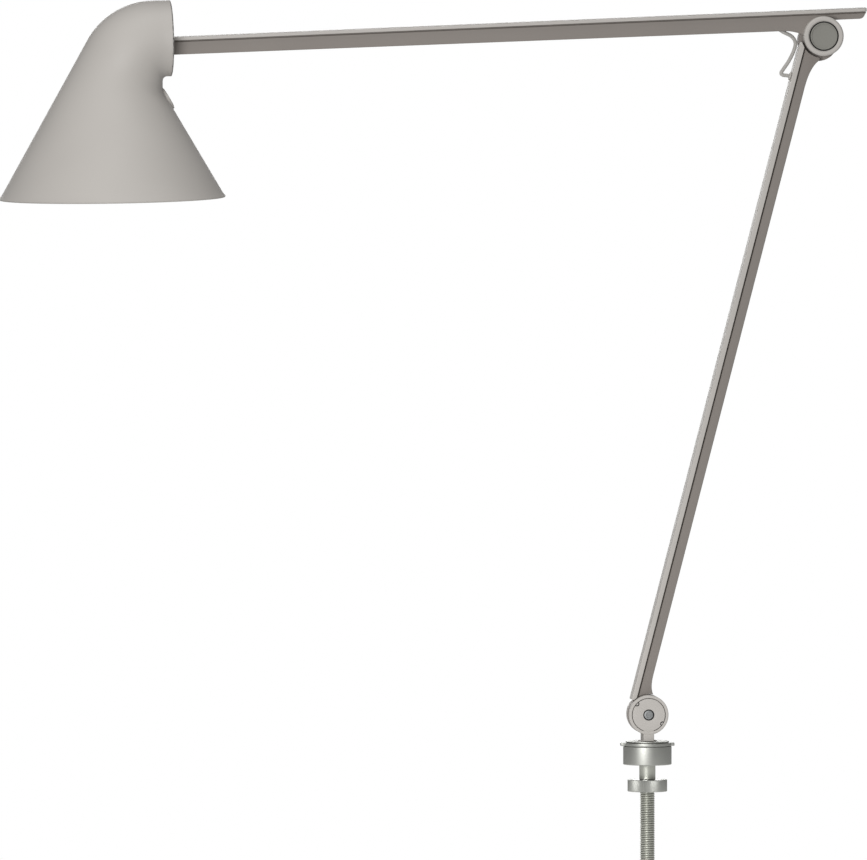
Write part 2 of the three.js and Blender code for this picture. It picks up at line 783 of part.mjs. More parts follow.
const insideRadius = (z) => coneRadius(z) - SHADE.wall;
const centred = (piece) => piece.translate([SHADE.axisX, 0, 0]);

/** Disc that fits the cone from inside, with a web and an eye that hang it on the hinge. */
function headCarrier() {
  const { low, high, eyeRadius, ventRadius, vents, ventSpread } = CARRIER;
  const web = new THREE.Shape();
  web.moveTo(3.2, -3.2);
  web.quadraticCurveTo(-2, -20, -9, high - 1);
  web.lineTo(-35, high - 1);
  web.quadraticCurveTo(-18, -22, -3.6, 2.6);
  web.lineTo(0, 3);
  web.closePath();
  const eye = hingeRing(0, eyeRadius, -2, 2);
  let disc = ring(0, insideRadius(high) - 1, low, high, { segments: FINE });
  for (let i = 0; i < vents; i += 1) {
    const angle = ((2 * i + 1) * Math.PI) / vents;
    const vent = ring(0, ventRadius, low - 1, high + 1, { segments: 16 });
    disc = disc.subtract(
      vent.translate([ventSpread * Math.cos(angle), ventSpread * Math.sin(angle), 0]),
    );
  }
  const pinHole = hingeRing(0, PIN_RADIUS + GAP, -3, 3, { segments: 16 });
  return centred(disc).add(slab(web, -2, 2)).add(eye).subtract(pinHole);
}

/** Finned heat sink: stacked discs on a core. */
function heatSink() {
  const [top, low] = [CARRIER.low - GAP, -61];
  const [core, fin] = [14, 24];
  const fins = 4;
  const pitch = (top - low) / (fins - 0.5);
  const profile = [[0, top]];
  for (let i = 0; i < fins; i += 1) {
    const z = top - i * pitch;
    profile.push([fin, z], [fin, z - pitch / 2]);
    if (i < fins - 1) {
      profile.push([core, z - pitch / 2], [core, z - pitch]);
    }
  }
  profile.push([0, low]);
  return centred(turned(profile, { segments: 32 }));
}

const ledBoard = () => centred(ring(0, 22, -62.9, -61.3, { segments: 32 }));
const diffuser = () => centred(ring(0, insideRadius(-65) - 0.6, -67, -65, { segments: FINE }));

function diffuserRing() {
  const [low, high] = [-69.3, -67.3];
  const outer = insideRadius(high) - 0.6;
  return centred(ring(outer - 4, outer, low, high, { segments: FINE }));
}

/** White lining between the diffuser and the rim. */
function reflector() {
  const [low, high] = [-96.5, -69.6];
  const clear = 0.5;
  const sheet = 1;
  return centred(
    turned(
      [
        [insideRadius(low) - clear, low],
        [insideRadius(high) - clear, high],
        [insideRadius(high) - clear - sheet, high],
        [insideRadius(low) - clear - sheet, low],
      ],
      { segments: FINE },
    ),
  );
}

/** One of three screws that hold the heat sink to the carrier from above. */
function carrierScrew(turn) {
  const [x, y] = [19 * Math.cos(radians(turn)), 19 * Math.sin(radians(turn))];
  const seat = CARRIER.high + GAP;
  const head = ring(0, 2.6, seat, seat + 1.7, { chamfer: 0.3, segments: 16 });
  return centred(head.translate([x, y, 0]));
}

function switchBezel() {
  const disc = rodAlongX(SWITCH.bezelRadius, -2.4, 1, 0, MEDIUM);
  const bore = rodAlongX(SWITCH.bezelBore, -3, 2, 0, MEDIUM);
  return onSwitchSeat(disc.subtract(bore));
}

const switchBody = () => onSwitchSeat(rodAlongX(SWITCH.bodyRadius, -9, -3.2, 0, COARSE));

/** Round push button with a shallow dish in its face. */
function switchButton() {
  const dishRadius = 16;
  const dish = new THREE.SphereGeometry(dishRadius, 32, 16).translate(dishRadius + 1, 0, 0);
  const disc = rodAlongX(SWITCH.buttonRadius, -1.6, 1.4, 0, MEDIUM);
  return onSwitchSeat(disc.subtract(solid(dish)));
}

// ---------------------------------------------------------------- assembly

function mesh(name, material, piece) {
  const { vertProperties, triVerts } = piece.getMesh();
  const geometry = new THREE.BufferGeometry();
  geometry.setAttribute("position", new THREE.BufferAttribute(vertProperties, 3));
  geometry.setIndex(new THREE.BufferAttribute(triVerts, 1));
  geometry.computeVertexNormals();
  const result = new THREE.Mesh(geometry, material);
  result.name = name;
  return result;
}

function assembly(meshes, { position = [0, 0, 0], tilt = 0 } = {}) {
  const group = new THREE.Group();
  group.position.set(...position);
  group.rotation.y = radians(tilt);
  group.add(...meshes);
  return group;
}

const head = assembly(
  [
    mesh("shade", PAINT, shade()),
    mesh("head_carrier", HEAT_SINK, headCarrier()),
    mesh("heat_sink", HEAT_SINK, heatSink()),
    mesh("led_board", BOARD, ledBoard()),
    mesh("diffuser", OPAL, diffuser()),
    mesh("diffuser_ring", WHITE_ALUMINIUM, diffuserRing()),
    mesh("reflector", WHITE_ALUMINIUM, reflector()),
    mesh("carrier_screw_1", SPRING_STEEL, carrierScrew(90)),
    mesh("carrier_screw_2", SPRING_STEEL, carrierScrew(200)),
    mesh("carrier_screw_3", SPRING_STEEL, carrierScrew(-20)),
    mesh("tilt_washer_front", BRONZE, tiltWasher(-1)),
    mesh("tilt_washer_rear", BRONZE, tiltWasher(1)),
    mesh("switch_bezel", PAINT, switchBezel()),
    mesh("switch_body", SWITCH_PLASTIC, switchBody()),
    mesh("switch_button", PAINT, switchButton()),
  ],
  { position: [-UPPER.reach, 0, STEM.height], tilt: REST.upperRise - REST.headLean },
);

const headHinge = assembly(
  [
    mesh("head_fork", POLISHED, headFork()),
    mesh("fork_washer", BRONZE, forkWasher()),
    mesh("tilt_pin", POLISHED, tiltPin()),
    mesh("tilt_nut", POLISHED, tiltNut()),
  ],
  { position: [-UPPER.reach, 0, STEM.height] },
);

const upperArm = assembly(
  [
    mesh("upper_arm_beam", DARK_PAINT, upperBeam()),
    mesh("upper_arm_cover", PAINT, upperCover()),
    mesh("upper_arm_lead", LEAD_SLEEVE, upperArmLead()),
    mesh("elbow_lead", LEAD_SLEEVE, elbowLead()),
    mesh("elbow_cap", CAP_RUBBER, elbowCap()),
    head,
    headHinge,
  ],
  { position: [LOWER.reach, 0, 0], tilt: ELBOW_FOLD },
);

const lowerArm = assembly(
  [
    mesh("lower_arm_beam", DARK_PAINT, lowerBeam()),
    mesh("lower_arm_cover", PAINT, lowerCover()),
    mesh("lower_arm_lead", LEAD_SLEEVE, lowerArmLead()),
    mesh("lead_grommet", PAINT, leadGrommet()),
    assembly(
      [
        mesh("elbow_axle", POLISHED, elbowAxle()),
        mesh("elbow_nut", SPRING_STEEL, nutOnAxle(-8.4, -6.6)),
        mesh("elbow_spring", SPRING_STEEL, discSpring(-6.3, -5.1)),
        mesh("elbow_washer", BRONZE, frictionWasher(-0.5, 0.5, 11)),
        mesh("elbow_rear_cap", CAP_RUBBER, elbowRearCap()),
      ],
      { position: [LOWER.reach, 0, 0] },
    ),
    upperArm,
  ],
  { tilt: REST.lowerLean - 90 },
);

const swivel = assembly(
  [
    mesh("base_knuckle", PAINT, baseKnuckle()),
    mesh("base_axle", POLISHED, baseAxle()),
    mesh("base_cover", PAINT, baseCover()),
    mesh("base_cover_screw", SPRING_STEEL, coverScrew()),
    mesh("base_washer_front", BRONZE, frictionWasher(-4.7, -4.2, 11)),
    mesh("base_washer_rear", BRONZE, frictionWasher(4.2, 4.7, 11)),
    mesh("base_spring", SPRING_STEEL, discSpring(6.9, 7.8)),
    mesh("base_nut", SPRING_STEEL, nutOnAxle(8.1, 9.9)),
    lowerArm,
  ],
  { position: [0, 0, BASE.pivotHeight] },
);

const lamp = assembly([
  mesh("base_socket", BRUSHED, baseSocket()),
  mesh("lug_ring", BRUSHED, lugRing()),
  mesh("swivel_bush", BRONZE, swivelBush()),
  mesh("desk_pad", RUBBER, deskPad()),
  mesh("threaded_rod", THREAD_STEEL, threadedRod()),
  mesh("lead_bush", RUBBER, leadBush()),
  mesh("thrust_ring", POLISHED, thrustRing()),
  mesh("clamp_nut", BRUSHED, clampNut()),
  mesh("swivel_cap", BRUSHED, swivelCap()),
  mesh("spigot_clip", SPRING_STEEL, spigotClip()),
  swivel,
]);

export default lamp;
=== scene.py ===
"""Architect desk lamp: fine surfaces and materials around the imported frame.

Every piece is drawn in millimetres in a frame of its own, as the solids are, and is then
placed in the row frame in metres. Angles are in degrees until they are used.
"""

import math

import bmesh
import bpy
from mathutils import Matrix, Vector


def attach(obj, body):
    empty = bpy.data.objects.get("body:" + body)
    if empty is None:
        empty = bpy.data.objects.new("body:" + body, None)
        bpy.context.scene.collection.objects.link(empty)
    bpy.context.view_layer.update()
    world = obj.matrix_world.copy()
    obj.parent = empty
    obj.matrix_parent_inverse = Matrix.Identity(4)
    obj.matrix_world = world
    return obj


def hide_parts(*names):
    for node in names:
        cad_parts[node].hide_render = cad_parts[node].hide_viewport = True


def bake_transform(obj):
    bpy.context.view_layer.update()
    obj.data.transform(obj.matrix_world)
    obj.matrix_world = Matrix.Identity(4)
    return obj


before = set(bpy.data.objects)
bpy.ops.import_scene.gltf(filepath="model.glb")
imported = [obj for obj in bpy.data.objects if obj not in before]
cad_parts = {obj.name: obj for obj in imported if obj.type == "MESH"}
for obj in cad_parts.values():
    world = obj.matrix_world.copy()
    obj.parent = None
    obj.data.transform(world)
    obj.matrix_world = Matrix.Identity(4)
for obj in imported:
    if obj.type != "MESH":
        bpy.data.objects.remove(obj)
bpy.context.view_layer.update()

# ------------------------------------------------------------------ dimensions and frames

MM = 0.001
GAP = 0.3  # clearance between two pieces
LOWER_REACH = 460  # from the knuckle's pivot to the elbow
UPPER_REACH = 444.6  # from the elbow to the head hinge
PIVOT_HEIGHT = 33
STEM_HEIGHT = 10.75  # of the head hinge, above the line through the elbow
LOWER_LEAN = 14.5
UPPER_RISE = 2.2
HEAD_LEAN = 0.9
UPPER_END = 9.6 - UPPER_REACH  # the beam stops short of the head hinge
UPPER_TAIL = 29.4
UPPER_BEAM_TOP = 14.6
LOWER_BEAM_TOP = 9.9
LOWER_COVER_TOP, LOWER_COVER_THICK = 13.3, 3.1
STRIP_HALF = 7.5  # half the width of both cover strips
LEAD_ENTRY = LOWER_REACH - 31
LEAD_RADIUS = 1.25
GROOVE_HEIGHT, GROOVE_DEPTH = 0.9, 1.6  # the shadow line under a cover strip
DRUM = 13  # radius of the knuckle and of the elbow's boss
KNUCKLE_ROOM = 13.6  # radius cleared round the knuckle's pivot
ELBOW_ROOM = 14.6  # radius cleared round the elbow's pivot, in the lower arm
BEAM_HALF = 5.5  # half a beam's width, at its top
AXLE = 3
AXLE_HOLE = AXLE + GAP
STEM_RADIUS = 3
PIN_RADIUS = 1.6
PIN_HOLE = PIN_RADIUS + GAP
THREAD_PITCH = 1.5


def shift(x=0.0, y=0.0, z=0.0):
    return Matrix.Translation((x, y, z))


def turn_y(degrees):
    return Matrix.Rotation(math.radians(degrees), 4, "Y")


WORLD = Matrix.Identity(4)
LOWER = shift(z=PIVOT_HEIGHT) @ turn_y(LOWER_LEAN - 90)
ELBOW_FOLD = 90 - LOWER_LEAN - UPPER_RISE
UPPER = LOWER @ shift(x=LOWER_REACH) @ turn_y(ELBOW_FOLD)
HINGE = UPPER @ shift(x=-UPPER_REACH, z=STEM_HEIGHT)
HEAD = HINGE @ turn_y(UPPER_RISE - HEAD_LEAN)
SWIVEL = shift(z=PIVOT_HEIGHT)
ELBOW = LOWER @ shift(x=LOWER_REACH)

# ------------------------------------------------------------------ mesh tools


def new_object(name, mesh):
    obj = bpy.data.objects.new(name, mesh)
    bpy.context.scene.collection.objects.link(obj)
    return obj


def mesh_object(name, rings, closed=True, capped=False):
    """A skin through rings of points.

    closed joins the last ring to the first, and capped fills both ends.
    """
    bm = bmesh.new()
    rows = [[bm.verts.new(point) for point in ring] for ring in rings]
    count = len(rows)
    for i in range(count if closed else count - 1):
        here, there = rows[i], rows[(i + 1) % count]
        for j in range(len(here)):
            k = (j + 1) % len(here)
            bm.faces.new((here[j], here[k], there[k], there[j]))
    if capped:
        bm.faces.new(rows[0])
        bm.faces.new(list(reversed(rows[-1])))
    bmesh.ops.remove_doubles(bm, verts=bm.verts, dist=1e-4)
    bmesh.ops.dissolve_degenerate(bm, edges=bm.edges, dist=1e-5)
    bmesh.ops.recalc_face_normals(bm, faces=bm.faces)
    mesh = bpy.data.meshes.new(name)
    bm.to_mesh(mesh)
    bm.free()
    return new_object(name, mesh)


def soften(corners, radius, steps=3, loop=True):
    """Corners of a 2-D outline rounded by arcs. A corner on the axis (x = 0) stays sharp."""
    points = []
    count = len(corners)
    for i, corner in enumerate(corners):
        here = Vector(corner[:2])
        fillet = corner[2] if len(corner) > 2 else radius
        ends = not loop and i in (0, count - 1)
        if fillet <= 0 or here.x < 1e-6 or ends:
            points.append(tuple(here))
            continue
        before = Vector(corners[i - 1][:2]) - here
        after = Vector(corners[(i + 1) % count][:2]) - here
        angle = before.angle(after)
        if angle > math.radians(172):
            points.append(tuple(here))
            continue
        cut = min(fillet / math.tan(angle / 2), 0.45 * before.length, 0.45 * after.length)
        start = here + before.normalized() * cut
        end = here + after.normalized() * cut
        for step in range(steps + 1):
            t = step / steps
            points.append(tuple(start * (1 - t) ** 2 + here * 2 * t * (1 - t) + end * t * t))
    return points


def axis_point(axis, radius, height, angle):
    across, along = radius * math.cos(angle), radius * math.sin(angle)
    if axis == "z":
        return (across, along, height)
    if axis == "y":
        return (across, height, along)
    return (height, across, along)


def circle(axis, radius, height, sides):
    """Points round an axis, at one radius and one height along it."""
    return [axis_point(axis, radius, height, 2 * math.pi * i / sides) for i in range(sides)]


def turned(name, profile, axis="y", sides=72, fillet=0.15, steps=3):
    """A [radius, height] outline turned about an axis, its corners rounded by fillet."""
    outline = soften(profile, fillet, steps)
    return mesh_object(name, [circle(axis, radius, height, sides) for radius, height in outline])


def disc_ring(name, inner, outer, near, far, axis="y", sides=72, fillet=0.15):
    corners = [(inner, near), (outer, near), (outer, far), (inner, far)]
    return turned(name, corners, axis, sides, fillet)


def hole(radius, near, far, axis="y", sides=48, at=(0, 0, 0)):
    """A sharp-edged cylinder to cut with."""
    return moved(disc_ring("hole", 0, radius, near, far, axis, sides, 0), shift(*at))


def block(name, low, high, fillet=0.0):
    """A box with rounded edges."""
    bm = bmesh.new()
    bmesh.ops.create_cube(bm, size=1)
    size = [b - a for a, b in zip(low, high)]
    middle = [(a + b) / 2 for a, b in zip(low, high)]
    bm.transform(shift(*middle) @ Matrix.Diagonal((*size, 1)))
    if fillet > 0:
        bmesh.ops.bevel(
            bm, geom=bm.edges[:], offset=fillet, segments=3, profile=0.5, affect="EDGES"
        )
    mesh = bpy.data.meshes.new(name)
    bm.to_mesh(mesh)
    bm.free()
    return new_object(name, mesh)


def slab(name, outline, near, far, fillet=0.0):
    """An outline in XZ carried along Y, its outer edges rounded."""
    steps = 3 if fillet > 0 else 0
    rings = []
    for side, start in ((1, near), (-1, far)):
        layers = range(steps + 1) if side > 0 else range(steps, -1, -1)
        for i in layers:
            t = i / steps if steps else 0
            angle = t * math.pi / 2
            inset = fillet * (1 - math.sin(angle))
            y = start + side * fillet * (1 - math.cos(angle))
            rings.append([inset_point(outline, j, inset, y) for j in range(len(outline))])
    return mesh_object(name, rings, closed=False, capped=True)


def inset_point(outline, j, inset, y):
    """A corner of the outline moved inwards by inset, at height y."""
    here = Vector(outline[j])
    if inset < 1e-9:
        return (here.x, y, here.y)
    before = (here - Vector(outline[j - 1])).normalized()
    after = (Vector(outline[(j + 1) % len(outline)]) - here).normalized()
    sign = 1 if outline_area(outline) > 0 else -1
    normal = Vector((-before.y - after.y, before.x + after.x)) * sign
    normal.normalize()
    stretch = max(0.5, normal.dot(Vector((-before.y, before.x)) * sign))
    inner = here + normal * inset / stretch
    return (inner.x, y, inner.y)


def outline_area(outline):
    total = 0.0
    for i, (x, z) in enumerate(outline):
        x1, z1 = outline[(i + 1) % len(outline)]
        total += x * z1 - x1 * z
    return total / 2


def moved(obj, matrix):
    obj.data.transform(matrix)
    return obj


def combined(obj, others, operation):
    """obj joined with or cut by the others, which are used up."""
    for other in others:
        modifier = obj.modifiers.new("cut", "BOOLEAN")
        modifier.operation = operation
        modifier.solver = "MANIFOLD"
        modifier.object = other
        bpy.context.view_layer.update()
        graph = bpy.context.evaluated_depsgraph_get()
        result = bpy.data.meshes.new_from_object(obj.evaluated_get(graph))
        obj.modifiers.clear()
        obj.data = result
        bpy.data.objects.remove(other)
    return obj


def cut(obj, *others):
    return combined(obj, others, "DIFFERENCE")


def joined(obj, *others):
    return combined(obj, others, "UNION")


def shaded(mesh, angle=32):
    """Smooth faces, with creases where two faces meet at more than the angle."""
    bm = bmesh.new()
    bm.from_mesh(mesh)
    bmesh.ops.remove_doubles(bm, verts=bm.verts, dist=2e-6)
    for face in bm.faces:
        face.smooth = True
    for edge in bm.edges:
        edge.smooth = edge.calc_face_angle(math.pi) < math.radians(angle)
    bm.to_mesh(mesh)
    bm.free()


def finished(obj, place, body, slot, material, *nodes):
    """Places a piece, gives it its material, hangs it on a body and hides the CAD nodes it is drawn
    for.
    """
    obj.data.transform(Matrix.Scale(MM, 4) @ place)
    shaded(obj.data)
    obj.data.materials.clear()
    obj.data.materials.append(material)
    if body is not None:
        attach(obj, body)
    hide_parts(*nodes)
    return obj


def accent(obj, place, material, chosen):
    """Gives another material to the faces whose centre, in the piece's own frame, is chosen."""
    obj.data.materials.append(material)
    index = len(obj.data.materials) - 1
    inverse = (Matrix.Scale(MM, 4) @ place).inverted()
    for face in obj.data.polygons:
        if chosen(inverse @ face.center):
            face.material_index = index


def quadratic(start, control, end, steps=10):
    points = []
    for i in range(1, steps + 1):
        t = i / steps
        a, b, c = (1 - t) ** 2, 2 * t * (1 - t), t * t
        points.append(tuple(a * s + b * k + c * e for s, k, e in zip(start, control, end)))
    return points


# ------------------------------------------------------------------ material tools


def node_material(name, color, roughness, metallic=0.0, **settings):
    """A material with its shader's plain values set, returned with its tree and shader."""
    material = bpy.data.materials.new(name)
    material.use_nodes = True
    shader = material.node_tree.nodes["Principled BSDF"]
    shader.inputs["Base Color"].default_value = (*color, 1)
    shader.inputs["Roughness"].default_value = roughness
    shader.inputs["Metallic"].default_value = metallic
    for socket, value in settings.items():
        shader.inputs[socket.replace("_", " ")].default_value = value
    return material, material.node_tree, shader


def add(tree, kind, **values):
    node = tree.nodes.new(kind)
    for name, value in values.items():
        if name in node.inputs:
            node.inputs[name].default_value = value
        else:
            setattr(node, name, value)
    return node


def calc(tree, operation, *values):
    """The result of a Math node whose inputs are sockets or plain numbers."""
    node = add(tree, "ShaderNodeMath", operation=operation)
    for socket, value in zip(node.inputs, values):
        if isinstance(value, bpy.types.NodeSocket):
            tree.links.new(value, socket)
        else:
            socket.default_value = value
    return node.outputs["Value"]


def separated(tree, vector):
    """The X, Y and Z outputs of a vector."""
    split = add(tree, "ShaderNodeSeparateXYZ")
    tree.links.new(vector, split.inputs["Vector"])
    return split.outputs


def object_coords(tree, scale=(1, 1, 1)):
    coords = add(tree, "ShaderNodeTexCoord")
    mapping = add(tree, "ShaderNodeMapping")
    mapping.inputs["Scale"].default_value = scale
    tree.links.new(coords.outputs["Object"], mapping.inputs["Vector"])
    return mapping.outputs["Vector"]


def turned_coords(tree, around=0.0):
    """Coordinates that repeat along Z and outwards from the Z axis, for marks left by turning."""
    place = separated(tree, add(tree, "ShaderNodeTexCoord").outputs["Object"])
    flat = add(tree, "ShaderNodeCombineXYZ")
    tree.links.new(place["X"], flat.inputs["X"])
    tree.links.new(place["Y"], flat.inputs["Y"])
    reach = add(tree, "ShaderNodeVectorMath", operation="LENGTH")
    tree.links.new(flat.outputs["Vector"], reach.inputs[0])
    swept = add(tree, "ShaderNodeCombineXYZ")
    tree.links.new(reach.outputs["Value"], swept.inputs["X"])
    tree.links.new(place["Z"], swept.inputs["Z"])
    if around > 0:
        angle = calc(tree, "ARCTAN2", place["Y"], place["X"])
        tree.links.new(calc(tree, "MULTIPLY", angle, around), swept.inputs["Y"])
    return swept.outputs["Vector"]


def noise(tree, vector, scale, detail=3.0, rough=0.5):
    texture = add(tree, "ShaderNodeTexNoise", Scale=scale, Detail=detail, Roughness=rough)
    tree.links.new(vector, texture.inputs["Vector"])
    return texture.outputs["Fac"]


def spread(tree, factor, low, high, from_low=0.3, from_high=0.7):
    """A factor remapped to a range of values."""
    remap = add(tree, "ShaderNodeMapRange")
    tree.links.new(factor, remap.inputs["Value"])
    remap.inputs["From Min"].default_value = from_low
    remap.inputs["From Max"].default_value = from_high
    remap.inputs["To Min"].default_value = low
    remap.inputs["To Max"].default_value = high
    return remap.outputs["Result"]


def between(tree, factor, dark, light, low=0.3, high=0.7):
    """A factor turned into a colour between two."""
    ramp = add(tree, "ShaderNodeValToRGB")
    ramp.color_ramp.elements[0].position = low
    ramp.color_ramp.elements[0].color = (*dark, 1)
    ramp.color_ramp.elements[1].position = high
    ramp.color_ramp.elements[1].color = (*light, 1)
    tree.links.new(factor, ramp.inputs["Fac"])
    return ramp.outputs["Color"]


def bump(tree, shader, height, distance, strength=1.0, under=None):
    node = add(tree, "ShaderNodeBump", Strength=strength, Distance=distance)
    tree.links.new(height, node.inputs["Height"])
    if under is not None:
        tree.links.new(under, node.inputs["Normal"])
    tree.links.new(node.outputs["Normal"], shader.inputs["Normal"])
    return node.outputs["Normal"]


def shades(color, change):
    return tuple(c * (1 - change) for c in color), tuple(min(1, c * (1 + change)) for c in color)


# ------------------------------------------------------------------ materials


def powder_coat(name, color, roughness):
    """Fine powder coat: a grain of small bumps and a slow change of tone."""
    material, tree, shader = node_material(name, color, roughness)
    place = object_coords(tree)
    tone = noise(tree, place, 14, 2)
    tree.links.new(between(tree, tone, *shades(color, 0.025)), shader.inputs["Base Color"])
    grain = noise(tree, place, 2400, 2)
    tree.links.new(
        spread(tree, grain, roughness - 0.06, roughness + 0.06), shader.inputs["Roughness"]
    )
    peel = noise(tree, place, 420, 2)
    first = bump(tree, shader, peel, 0.00001, 0.2)
    bump(tree, shader, grain, 0.000004, 0.3, under=first)
    return material


def turned_steel(name, color, roughness, fine=9000, depth=0.5):
    """Metal with the fine rings that turning or brushing round the Z axis leaves."""
    material, tree, shader = node_material(name, color, roughness, 1.0)
    lines = noise(tree, turned_coords(tree, around=0.0006), fine, 3, 0.65)
    tree.links.new(between(tree, lines, *shades(color, 0.07)), shader.inputs["Base Color"])
    tree.links.new(
        spread(tree, lines, roughness - 0.07, roughness + 0.1), shader.inputs["Roughness"]
    )
    bump(tree, shader, lines, 0.000012, depth)
    return material


def plain_metal(name, color, roughness, scale=900):
    """Satin metal with a faint cloudy grain, for pins, springs and washers."""
    material, tree, shader = node_material(name, color, roughness, 1.0)
    cloud = noise(tree, object_coords(tree), scale, 3)
    tree.links.new(between(tree, cloud, *shades(color, 0.06)), shader.inputs["Base Color"])
    tree.links.new(
        spread(tree, cloud, roughness - 0.05, roughness + 0.08), shader.inputs["Roughness"]
    )
    bump(tree, shader, cloud, 0.00001, 0.3)
    return material


def thread_steel(name, color, root, roughness):
    """Zinc-grey thread, darker in the roots as painted shade, with a random blotchy tone and
    roughness.
    """
    material, tree, shader = node_material(name, color, roughness, 1.0)
    reach = separated(tree, turned_coords(tree))["X"]
    # Painted shade: the roots take the darker root colour and the crests the plain colour.
    crest = spread(tree, reach, 0, 1, 0.0044, 0.00485)  # metres from the axis
    blotch = noise(tree, object_coords(tree), 700, 4)
    blotch_and_root_shade = calc(tree, "MULTIPLY_ADD", blotch, 0.35, crest)
    tree.links.new(between(tree, blotch_and_root_shade, root, color, 0.15, 1.1), shader.inputs["Base Color"])
    tree.links.new(
        spread(tree, blotch, roughness - 0.06, roughness + 0.12), shader.inputs["Roughness"]
    )
    bump(tree, shader, blotch, 0.00002, 0.3)
    return material


def moulded(name, color, roughness, grain_scale, depth, **settings):
    """Moulded plastic or rubber with a sparked grain."""
    material, tree, shader = node_material(name, color, roughness, **settings)
    place = object_coords(tree)
    grain = noise(tree, place, grain_scale, 2, 0.6)
    tree.links.new(between(tree, grain, *shades(color, 0.08)), shader.inputs["Base Color"])
    tree.links.new(
        spread(tree, grain, roughness - 0.08, roughness + 0.08), shader.inputs["Roughness"]
    )
    bump(tree, shader, grain, depth, 0.6)
    return material


def braided(name, light, dark, roughness, picks, turns):
    """Woven sleeve: two sets of threads that cross on the diagonal, from the tube's UV map."""
    material, tree, shader = node_material(name, light, roughness)
    place = separated(tree, add(tree, "ShaderNodeTexCoord").outputs["UV"])
    waves = []
    for direction in (1, -1):
        around = calc(tree, "MULTIPLY", place["X"], direction * picks * 2 * math.pi)
        phase = calc(tree, "MULTIPLY_ADD", place["Y"], turns * 2 * math.pi, around)
        waves.append(calc(tree, "SINE", phase))
    weave = calc(tree, "MULTIPLY", *waves)
    threads = spread(tree, weave, 0, 1, -1, 1)
    tree.links.new(between(tree, threads, dark, light, 0.2, 0.8), shader.inputs["Base Color"])
    fibre = noise(tree, object_coords(tree), 5200, 2)
    first = bump(tree, shader, weave, 0.00006, 0.6)
    bump(tree, shader, fibre, 0.00002, 0.4, under=first)
    return material


def led_panel(name, color, chip, pitch):
    """White circuit board with a square grid of small yellow light chips."""
    material, tree, shader = node_material(name, color, 0.5)
    place = object_coords(tree, (1 / pitch, 1 / pitch, 1))
    cells = add(tree, "ShaderNodeVectorMath", operation="FRACTION")
    tree.links.new(place, cells.inputs[0])
    centre = add(tree, "ShaderNodeVectorMath", operation="SUBTRACT")
    centre.inputs[1].default_value = (0.5, 0.5, 0)
    tree.links.new(cells.outputs["Vector"], centre.inputs[0])
    offset = separated(tree, centre.outputs["Vector"])
    larger = calc(tree, "MAXIMUM", *[calc(tree, "ABSOLUTE", offset[axis]) for axis in "XY"])
    tree.links.new(between(tree, larger, chip, color, 0.2, 0.22), shader.inputs["Base Color"])
    bump(tree, shader, noise(tree, object_coords(tree), 1500, 2), 0.00001, 0.3)
    return material


LIGHT = powder_coat("painted_light", (0.50, 0.475, 0.445), 0.55)
# The beams' darker copy of the paint is painted shade: the real lamp has one paint throughout.
BEAM_PAINTED_SHADE = powder_coat("painted_dark", (0.255, 0.229, 0.208), 0.6)
BRUSHED = turned_steel("brushed_steel", (0.47, 0.475, 0.445), 0.46)
POLISHED = plain_metal("polished_steel", (0.72, 0.72, 0.70), 0.2)
# The second colour is painted shade for the thread's roots.
THREAD = thread_steel("thread_steel", (0.62, 0.63, 0.57), (0.3, 0.3, 0.27), 0.42)
SPRING = plain_metal("spring_steel", (0.34, 0.35, 0.35), 0.45)
BRONZE = plain_metal("bronze", (0.55, 0.42, 0.2), 0.38)
CAP = moulded("cap_plastic", (0.25, 0.245, 0.22), 0.75, 3200, 0.00006)
RUBBER = moulded("rubber", (0.045, 0.044, 0.042), 0.8, 1800, 0.00003)
SLEEVE = braided("lead_sleeve", (0.66, 0.64, 0.61), (0.3, 0.29, 0.27), 0.85, 8, 30)
WHITE = powder_coat("white_aluminium", (0.82, 0.82, 0.8), 0.42)
OPAL = moulded(
    "opal_plastic", (0.86, 0.855, 0.83), 0.4, 2600, 0.00001, Subsurface_Weight=0.15
)
CAST = plain_metal("cast_aluminium", (0.5, 0.51, 0.52), 0.5, 1400)
BOARD = led_panel("circuit_board", (0.8, 0.83, 0.8), (0.8, 0.62, 0.18), 0.0055)
# Black plastic for the switch body; the same black is painted shade in the base cover's recesses,
# the screw's socket and the elbow boss's recess.
BLACK_AND_PAINTED_SHADE = moulded("switch_plastic", (0.03, 0.03, 0.03), 0.5, 1500, 0.00002)

# ------------------------------------------------------------------ clamp through the desk


def base_socket():
    profile = [
        (5.6, 0.9),
        (13.4, 0.9),
        (13.4, 0),
        (15.9, 0, 0.6),
        (15.9, 12, 0.35),
        (10.4, 12, 0.3),
        (10.4, 3),
        (5.6, 3),
    ]
    socket = turned("base_socket", profile, "z", 144, 0.2, 4)
    finished(socket, WORLD, "base", "brushed_steel", BRUSHED, "base_socket")


def lug_ring():
    low, high = 12.3, 14.3
    lug_from, lug_to, lug_half = 12, 17.6, 3.5
    ring = disc_ring("lug_ring", 6.6, 15.6, low, high, "z", 144, 0.3)
    for side in (-1, 1):
        near, far = sorted((side * lug_from, side * lug_to))
        lug = block("lug", (near, -lug_half, low), (far, lug_half, high), 0.3)
        ring = joined(ring, lug)
    finished(ring, WORLD, "base", "brushed_steel", BRUSHED, "lug_ring")


